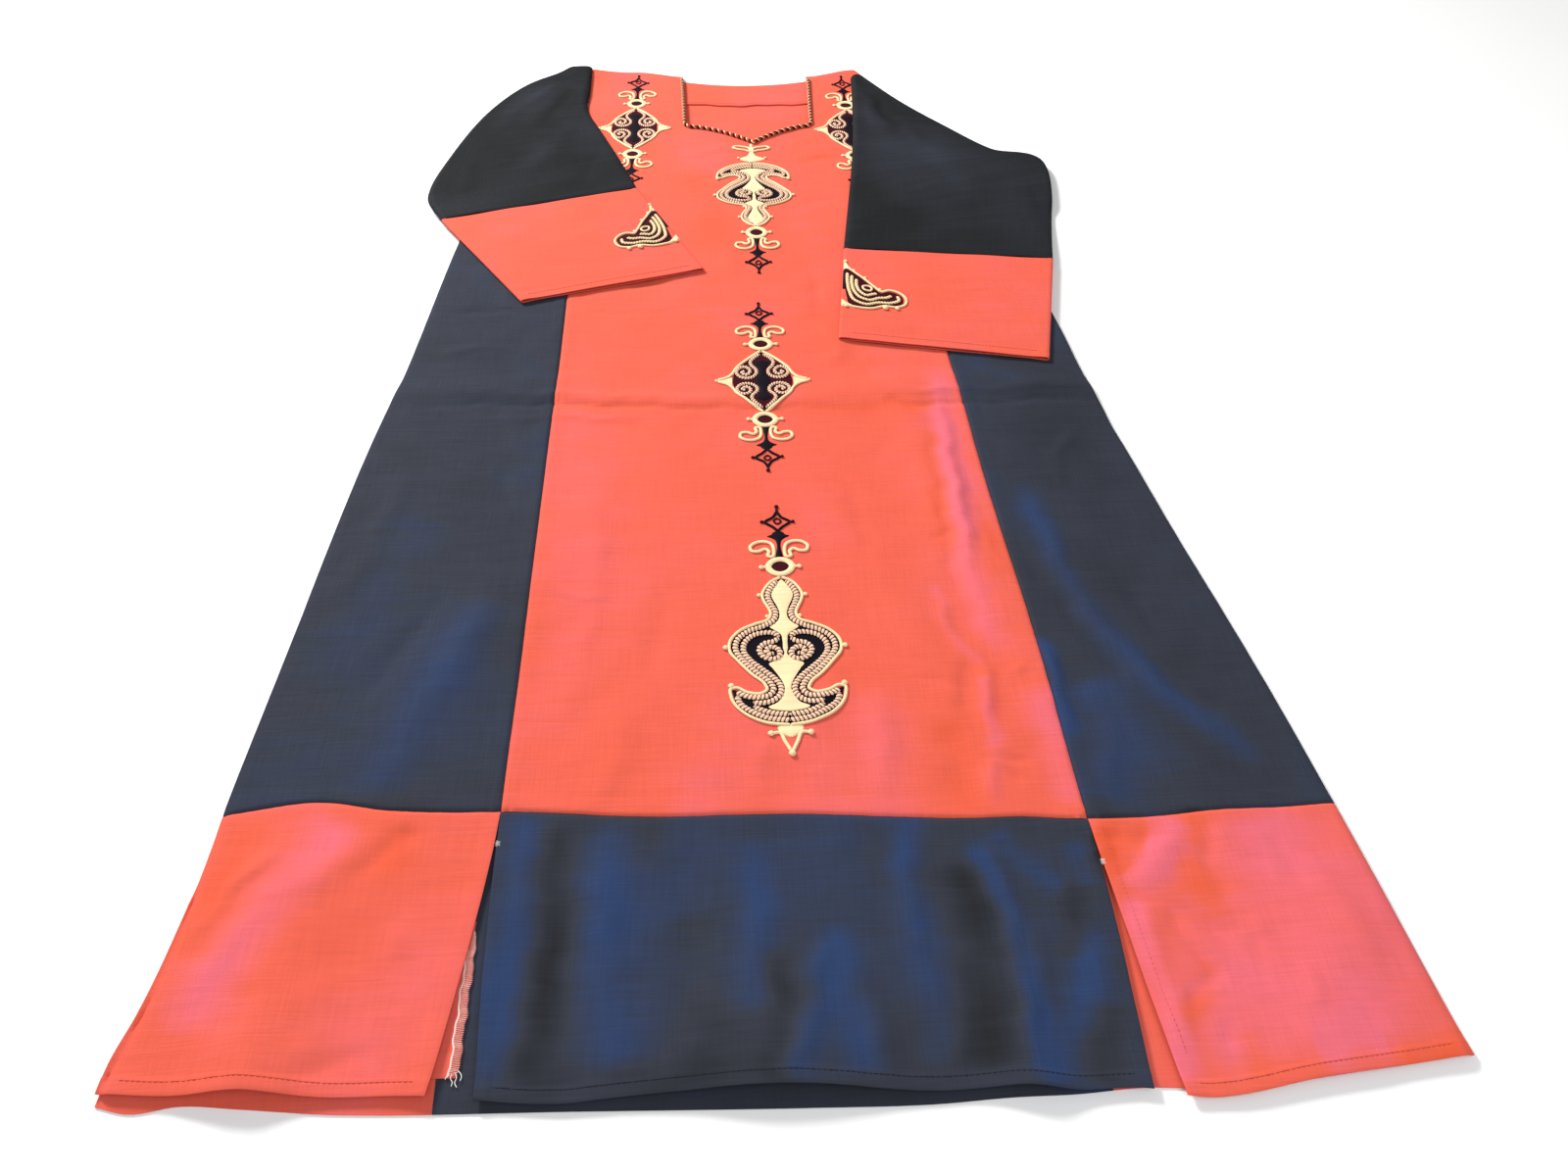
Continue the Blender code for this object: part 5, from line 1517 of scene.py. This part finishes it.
def diamond(middle):
    """The diamond: a dark ground, a black waisted fill, four scrolls of stitches and a cream outline."""
    laid = [fill_of(DIAMOND_GROUND, WINE_THREAD, 0.25), fill_of(DIAMOND_FILL, BLACK_THREAD, 0.75)]
    laid += both(flat_between(*SPUR_FILL, CREAM_THREAD, 0.8))
    outline = line_of(DIAMOND_OUTLINE, CREAM_THREAD, 1.6, 1.0)
    for quarter in both(row_of(DIAMOND_ROW, 2.1, 1.0)) + both(outline):
        laid += [quarter, end_for_end(quarter, 0.0)]
    laid += both(knot_at(52, 0, 1.9))
    return [(points * (DIAMOND_NARROW, 1.0, 1.0) + (0.0, middle, 0.0), *rest) for points, *rest in laid]


def lowered(pieces, share):
    """Pieces worked flatter, to a share of their height."""
    return [(points * (1.0, 1.0, share), *rest) for points, *rest in pieces]


def stretched(pieces, own, real):
    """Pieces whose places along the middle line go from the motif's own measures to the real ones."""
    return [
        (np.column_stack([points[:, 0], np.interp(points[:, 1], own, real), points[:, 2]]), *rest)
        for points, *rest in pieces
    ]


def tall_motif(length):
    """A finial at both ends of a diamond, drawn out to a length."""
    ends = finial() + [end_for_end(laid, TALL_LENGTH) for laid in finial()]
    return stretched(ends + diamond(0.5 * TALL_LENGTH), (0.0, TALL_LENGTH), (0.0, length))


# The second colour of each thread is painted shade in its grooves and between its stitches; the black and
# wine threads have none.
embroidery_threads = [
    thread("cream_thread", CREAM, (0.60, 0.40, 0.20)),
    thread("pale_thread", PALE, (0.055, 0.010, 0.018)),
    thread("black_thread", BLACK, BLACK),
    thread("wine_thread", WINE, WINE),
]
pendant = [fill_of(PENDANT_FILL, CREAM_THREAD, 0.9)] + both(line_of(PENDANT_LINE, CREAM_THREAD, 1.35))
pendant += both(knot_at(*PENDANT_KNOTS[0])) + [knot_at(*PENDANT_KNOTS[1])]
bow = [fill_of(BOW_FILL, CREAM_THREAD, 0.9)] + both(ring_of(BOW_LOOP, CREAM_THREAD, 1.5))
bow += both(knot_at(16.5, 261.8, 1.8))
neck_lamp = stretched(
    finial() + lamp(), (0.0, 85.0, 125.0, 160.0, 199.5, 234.0), (0.0, 98.5, 140.0, 170.4, 212.0, 248.0)
)
shoulder_motif = lowered(tall_motif(310.0), 0.8)
FRONT_MOTIFS = (
    ("neck", neck_lamp + bow, (-0.0010, 0.8641), 1.0),
    ("middle", tall_motif(TALL_LENGTH), (-0.0040, 0.8070), -1.0),
    ("hem", finial() + lamp() + pendant, (0.0010, 0.4945), -1.0),
    ("shoulder_left", shoulder_motif, (-0.1475, 1.3640), -1.0),
    ("shoulder_right", shoulder_motif, (0.1276, 1.3560), -1.0),
)
for name, laid, start, way in FRONT_MOTIFS:
    motif = sew_on(
        f"embroidery_{name}", laid, embroidery_threads, front_lie, start=start, onward=(0.0, way), unit=MM
    )
    if "shoulder" not in name:
        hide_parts(f"medallion_{name}")


# Cuff embroidery
# Half of a wide motif, cut by the cuff's inner fold, in the same threads. Places are in millimetres:
# in from the fold, then along it from the seam.
HALF_OUTLINE = (
    (1.5, 127), (8, 129.4), (18, 131), (32, 130), (46, 122.6), (58, 122), (67, 115.6), (67.4, 103),
    (60, 94.5), (50, 92), (42, 96), (36, 90), (24, 76), (14, 66), (6, 57), (2.4, 48),
)
HALF_CORNER = (((0.8, 117), (7, 123.5), (15, 129.5)), ((0.8, 129.5), (7, 131.4), (15, 132)))
HALF_TIP = (((1, 45), (1, 52), (1, 59)), ((3.6, 45), (6, 53), (9.4, 60)))
HALF_DARK = (((0.8, 61), (0.8, 78), (1, 98)), ((8.5, 66), (5.6, 80), (4.2, 99)))
HALF_EYE = ((22.5, 90), (27.5, 88), (32, 91.5), (30.6, 96.6), (25, 96.4), (22.5, 90))
HALF_ROWS = (
    ((5.4, 68), (6, 85), (8.8, 104), (14, 118), (26, 123.6), (40, 117.5), (52, 115.6), (60.6, 109),
     (59, 101.4)),
    ((10.4, 72), (10.8, 88), (13.9, 102), (20.4, 112), (30, 115), (39.5, 109), (48, 106.4), (53, 102)),
    ((15.4, 78), (16, 91), (20.2, 101.4), (27, 106.6), (33, 103), (37.6, 101)),
)
HALF_GROUND = (
    ((2, 57), (3, 85), (6, 112), (9, 125), (20, 129), (34, 127), (46, 120.5), (58, 120.5), (65, 113)),
    ((3, 57), (14, 67.5), (24, 78), (36, 92), (42, 98), (50, 94), (59, 96.4), (64, 101), (65.4, 106)),
)
HALF_KNOTS = (
    (2.4, 45, 2.2), (6, 131, 2.4), (46.6, 126.4, 3), (59, 124.6, 2.4), (40.4, 92.4, 1.9),
    (24.4, 73.6, 1.8), (12, 61.6, 1.7),
)


def half_motif(shift, lean):
    """The half motif, moved along the fold, and leaning that way by a share of the distance from the fold."""
    laid = [flat_between(*HALF_GROUND, WINE_THREAD, 0.25), flat_between(*HALF_DARK, BLACK_THREAD, 0.6)]
    laid += [flat_between(*HALF_CORNER, CREAM_THREAD, 0.9), flat_between(*HALF_TIP, CREAM_THREAD, 0.9)]
    laid += [line_of(HALF_OUTLINE, CREAM_THREAD, 1.35, 1.0), ring_of(HALF_EYE, CREAM_THREAD, 1.2, 0.9)]
    laid += [row_of(row, 2.0, 1.1, CREAM_THREAD) for row in HALF_ROWS]
    laid += [knot_at(*knot) for knot in HALF_KNOTS]
    moved = []
    for points, *rest in laid:
        along_fold = points[:, 1] + shift + lean * points[:, 0]
        moved.append((np.column_stack([points[:, 0], along_fold, points[:, 2]]), *rest))
    return moved


for side, corners, shift, lean in (("left", LEFT_CUFF, 0.0, 0.0), ("right", RIGHT_CUFF, -17.0, 0.13)):
    fold_run = (corners[3] - corners[0]) / np.linalg.norm(corners[3] - corners[0])
    inward = np.array([fold_run[1], -fold_run[0]]) * (1.0 if side == "left" else -1.0)

    def cuff_top(across, up):
        """The upper layer's height over the fold's quarter round and on across the cuff."""
        inside = (across - corners[0][0]) * inward[0] + (up - corners[0][1]) * inward[1]
        round_over = CUFF_HALF_HEIGHT * quarter_round(inside, CUFF_ROLL)
        level = resting_on(across, up) + LIE_GAP + CUFF_HALF_HEIGHT + SEAM_GAP / 2 + round_over
        return level + cuff_relief(across, up) * smooth_step(inside / 0.014)

    motif = sew_on(
        f"embroidery_cuff_{side}", half_motif(shift, lean), embroidery_threads, cuff_top, start=corners[0],
        sideways=inward, onward=fold_run, unit=MM,
    )


# Slit edge, tacks and stitches of the hem band
# The left slit's turning has come loose: a narrow coral strip, its raw edge bound in pale overlock
# thread. White tacks hold both slits at the top, and matching thread runs along the hem and the slits.
STRIP_LOW, STRIP_HIGH, STRIP_EDGE, STRIP_WIDTH = 0.0170, 0.1150, -0.2045, 0.007
STRIP_LIFT, STRIP_WALL, STRIP_PATCH = 0.0010, 0.0006, 0.1
BINDING, BINDING_STEP = 0.0050, 0.0013
OVERLOCK_WIDE, OVERLOCK_HIGH, EDGE_THREAD_WIDE = 0.00052, 0.00036, 0.00060
FRAY_RADIUS, FRAY_CELL = 0.00030, 0.0006
TACK_HALF, TACK_REACH, TACK_STEP, TACK_WIDE, TACK_HIGH = 0.0024, 0.0014, 0.0011, 0.00055, 0.0005
TACK_SUNK = 0.0002
STITCH, STITCH_WIDE, STITCH_HIGH, STITCH_DIP = 0.0033, 0.00030, 0.00026, 0.0006
STITCH_END, STITCH_LEFT, STITCH_RIGHT, STITCH_OFF_FOLD = 0.012, -0.192, 0.196, 0.010
WHITE = (0.84, 0.80, 0.78)


def strip_edge(up):
    """The strip's free edge, which wavers and comes in to the band's edge at its top."""
    close = smooth_step((STRIP_HIGH - up) / 0.02)
    edge = STRIP_EDGE + 0.0005 * np.sin(up * 260.0) + 0.0003 * np.sin(up * 610.0)
    return band_inner_edge("left", up) - 0.001 + (edge - band_inner_edge("left", up) + 0.001) * close


def strip_lie(across, up):
    """The strip's height, from the back's face up towards the band that it hangs from."""
    rise = smooth_step((strip_edge(up) - across) / 0.012)
    return CLOTH + STRIP_LIFT + 0.0004 * rise + 0.00015 * np.sin(up * 300.0)


def zigzag(low, high, step, inner, outer):
    """Corners from side to side between two edges, each half a step further along."""
    up = np.arange(low, high, 0.5 * step)
    across = np.where(np.arange(len(up)) % 2 == 0, inner(up), outer(up))
    return np.column_stack([across, up])


def running(path):
    """Machine stitches: a thread that dips through the cloth once a stitch."""
    path = curve(path, STITCH / 5.0)
    return laid_cord(
        path, STITCH_WIDE, STITCH_HIGH, around=6, step=STITCH, depth=0.35, sink=0.35, dip=STITCH_DIP
    )


def thread_on_cloth(name, pieces, material, lies_on):
    """Thread in one piece, with its finish."""
    sew_on(name, pieces, [material], lies_on)


strip_rows = np.linspace(STRIP_LOW, STRIP_HIGH, 60)
strip_root = band_inner_edge("left", strip_rows) - STRIP_WIDTH
strip_across = spread(strip_root, strip_edge(strip_rows), np.linspace(0.0, 1.0, 10))
strip_up = strip_rows[:, None] + 0.0 * strip_across
slit_strip = cloth_piece(
    "slit_turning", strip_across, strip_up, strip_lie(strip_across, strip_up), coral_cotton,
    STRIP_PATCH + 0.0 * strip_across, thick=STRIP_WALL,
)
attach(slit_strip, "root")

# The second colour of each thread is painted shade in its grooves and between its stitches.
pale_binding = thread("pale_overlock_thread", (0.86, 0.60, 0.54), (0.70, 0.26, 0.20))
white_thread = thread("white_tack_thread", WHITE, (0.35, 0.30, 0.28))
coral_thread = thread("coral_sewing_thread", (0.60, 0.085, 0.052), (0.42, 0.045, 0.03))
navy_thread = thread("navy_sewing_thread", (0.022, 0.026, 0.040), (0.006, 0.006, 0.010))
over_edge = zigzag(
    STRIP_LOW + 0.001, STRIP_HIGH - 0.006, BINDING_STEP,
    lambda up: strip_edge(up) - BINDING * smooth_step((STRIP_HIGH - up) / 0.03),
    lambda up: strip_edge(up) + 0.0003,
)
inner_line = np.column_stack([strip_edge(strip_rows[:-6]) - BINDING, strip_rows[:-6]])
binding = [
    laid_cord(over_edge, OVERLOCK_WIDE, OVERLOCK_HIGH, around=6),
    laid_cord(inner_line, EDGE_THREAD_WIDE, OVERLOCK_HIGH, around=6),
]
thread_on_cloth("slit_turning_overlock", binding, pale_binding, strip_lie)
FRAYED = (
    ((-0.2062, 0.0200), (-0.2050, 0.0172), (-0.2056, 0.0140), (-0.2040, 0.0112)),
    ((-0.2078, 0.0196), (-0.2084, 0.0168), (-0.2070, 0.0142), (-0.2074, 0.0120)),
    ((-0.2050, 0.0210), (-0.2032, 0.0196), (-0.2022, 0.0172), (-0.2028, 0.0150)),
    ((-0.2090, 0.0190), (-0.2106, 0.0180), (-0.2114, 0.0160)),
)
frayed = [laid_cord(curve(path, FRAY_CELL), FRAY_RADIUS, FRAY_RADIUS, around=6) for path in FRAYED]
thread_on_cloth("slit_turning_frayed", frayed, white_thread, strip_lie)

TACKS = (("left", -0.1986, 0.1700), ("right", 0.2022, 0.1405))
for side, across, up in TACKS:
    bar = zigzag(
        up - TACK_HALF, up + TACK_HALF, TACK_STEP,
        lambda up: 0.0 * up + across - TACK_REACH, lambda up: 0.0 * up + across + TACK_REACH,
    )
    tack = laid_cord(bar, TACK_WIDE, TACK_HIGH, around=6)
    level = float(np.mean(band_lie(np.array([across]), np.array([up])))) - TACK_SUNK
    thread_on_cloth(f"slit_tack_{side}", [tack], white_thread, lambda x, y: 0.0 * x + level)


def hem_stitches(start, end, count):
    """Stitches along the front hem from one place across to another."""
    places = np.linspace(start, end, count)
    return running(np.column_stack([places, front_hem(places) + HEM_TURN - STITCH_SET_IN]))


def slit_stitches(edge, sign):
    """Stitches up a slit's edge, set in from it the way that the sign gives."""
    return running(np.column_stack([edge(slit_up) + sign * (SLIT_TURN - STITCH_SET_IN), slit_up]))


slit_up = np.linspace(STITCH_END, BAND_UP - STITCH_END, 24)
lines = [hem_stitches(STITCH_LEFT + SLIT_TURN, STITCH_RIGHT - SLIT_TURN, 60)]
lines += [slit_stitches(seam_left, 1.0), slit_stitches(seam_right, -1.0)]
thread_on_cloth("front_band_stitches", lines, navy_thread, band_lie)
for side, seam, fold, sign in SIDES:
    inner = band_inner_edge(side, STITCH_END) + sign * SLIT_TURN
    outer = fold(STITCH_END) - sign * STITCH_OFF_FOLD
    lines = [hem_stitches(inner, outer, 40), slit_stitches(lambda up: band_inner_edge(side, up), sign)]
    thread_on_cloth(f"front_band_{side}_stitches", lines, coral_thread, band_lie)

FACING_STITCHES = 0.0045
facing_line = np.column_stack([facing_across[2:-2], facing_low[2:-2] + FACING_STITCHES])


def facing_lie(across, up):
    """The facing's upper face over its turned edge."""
    return facing_foot(across, up) + FACING_THICK + FACING_TURN_THICK


thread_on_cloth("neck_facing_stitches", [running(facing_line)], coral_thread, facing_lie)
CUFF_STITCHES = CUFF_TURN - STITCH_SET_IN
for side, corners in (("left", LEFT_CUFF), ("right", RIGHT_CUFF)):
    fold_run = corners[3] - corners[0]
    level = 1.0 - CUFF_STITCHES / np.linalg.norm(fold_run)
    start = corners[0] + fold_run * level
    way = corners[1] + (corners[2] - corners[1]) * level - start
    places = start + way * np.linspace(0.06, 0.94, 40)[:, None]
    length = np.linalg.norm(way)

    def cuff_lie(across, up):
        """The cuff's upper face at the stitches, which draw its turned hem down."""
        share = ((across - start[0]) * way[0] + (up - start[1]) * way[1]) / length**2
        inside = np.minimum(share, 1.0 - share) * length
        level = resting_on(across, up) + LIE_GAP + 2.0 * CUFF_HALF_HEIGHT + SEAM_GAP / 2
        hem = turned_edge(CUFF_STITCHES, CUFF_TURN) * smooth_step(inside / 0.01)
        creased = cuff_creased(across, up, CUFF_STITCHES, inside)
        return level + hem + creased - cuff_mouth(CUFF_STITCHES, share, inside)

    thread_on_cloth(f"cuff_{side}_stitches", [running(places)], coral_thread, cuff_lie)


# Surface, light and camera
# The robe lies on a plain pale surface under soft light from above and a little from the neck end.
# The camera stands past the hem, tipped down, where the photograph was taken from.
CAMERA_HEIGHT, CAMERA_ACROSS, CAMERA_UP = 0.6927, -0.0408, -0.2528
CAMERA_TIP, CAMERA_TURN, CAMERA_ROLL = math.radians(46.556), math.atan(0.0673), 0.025
LENS, SENSOR = 27.0, 36.0
FLOOR_HALF, FLOOR_LEVEL = 6.0, -0.0002
AIM = (0.0, -0.2, 0.0)
ROOM_LIGHT = 0.38


def make_floor():
    """A wide sheet just under the robe, matt and nearly white, with a very faint mottle."""
    made = bpy.data.materials.new("pale_surface")
    made.use_nodes = True
    shader = made.node_tree.nodes["Principled BSDF"]
    place = made.node_tree.nodes.new("ShaderNodeTexCoord")
    mottle = noise(made.node_tree, place.outputs["Object"], (3.0, 3.0))
    tone = mixed(made.node_tree, mottle, (0.90, 0.90, 0.90, 1.0), (0.93, 0.93, 0.93, 1.0))
    made.node_tree.links.new(tone, shader.inputs["Base Color"])
    shader.inputs["Roughness"].default_value = 0.9
    mesh = bpy.data.meshes.new("surface")
    corners = [(FLOOR_HALF * x, FLOOR_HALF * y, FLOOR_LEVEL) for x, y in ((-1, -1), (1, -1), (1, 1), (-1, 1))]
    mesh.from_pydata(corners, [], [(0, 1, 2, 3)])
    mesh.materials.append(made)
    floor = bpy.data.objects.new("surface", mesh)
    bpy.context.scene.collection.objects.link(floor)


def make_light(name, place, size, power, colour):
    """A square soft light aimed at the lower middle of the robe."""
    light = bpy.data.lights.new(name, "AREA")
    light.shape, light.size, light.energy, light.color = "SQUARE", size, power, colour
    made = bpy.data.objects.new(name, light)
    way = Vector(AIM) - Vector(place)
    made.matrix_world = Matrix.Translation(place) @ way.to_track_quat("-Z", "Y").to_matrix().to_4x4()
    bpy.context.scene.collection.objects.link(made)


def make_camera():
    """The camera from its place, its tip below level, its turn and its roll."""
    lens = bpy.data.cameras.new("camera")
    lens.lens, lens.sensor_width = LENS, SENSOR
    made = bpy.data.objects.new("camera", lens)
    level = math.cos(CAMERA_TIP)
    forward = Vector((math.sin(CAMERA_TURN) * level, math.cos(CAMERA_TURN) * level, -math.sin(CAMERA_TIP)))
    place = Matrix.Translation((CAMERA_ACROSS - MIDDLE_ACROSS, CAMERA_UP - MIDDLE_UP, CAMERA_HEIGHT))
    turn = forward.to_track_quat("-Z", "Y").to_matrix().to_4x4() @ Matrix.Rotation(CAMERA_ROLL, 4, "Z")
    made.matrix_world = place @ turn
    bpy.context.scene.collection.objects.link(made)
    bpy.context.scene.camera = made


make_floor()
make_light("key", (-1.6, 1.9, 1.6), 0.7, 140.0, (1.0, 0.985, 0.97))
make_light("fill", (0.6, -1.6, 2.0), 2.0, 30.0, (0.97, 0.98, 1.0))
world = bpy.data.worlds.new("room")
world.use_nodes = True
world.node_tree.nodes["Background"].inputs["Color"].default_value = (1.0, 1.0, 1.0, 1.0)
world.node_tree.nodes["Background"].inputs["Strength"].default_value = ROOM_LIGHT
bpy.context.scene.world = world
bpy.context.scene.view_settings.view_transform = "Standard"
make_camera()
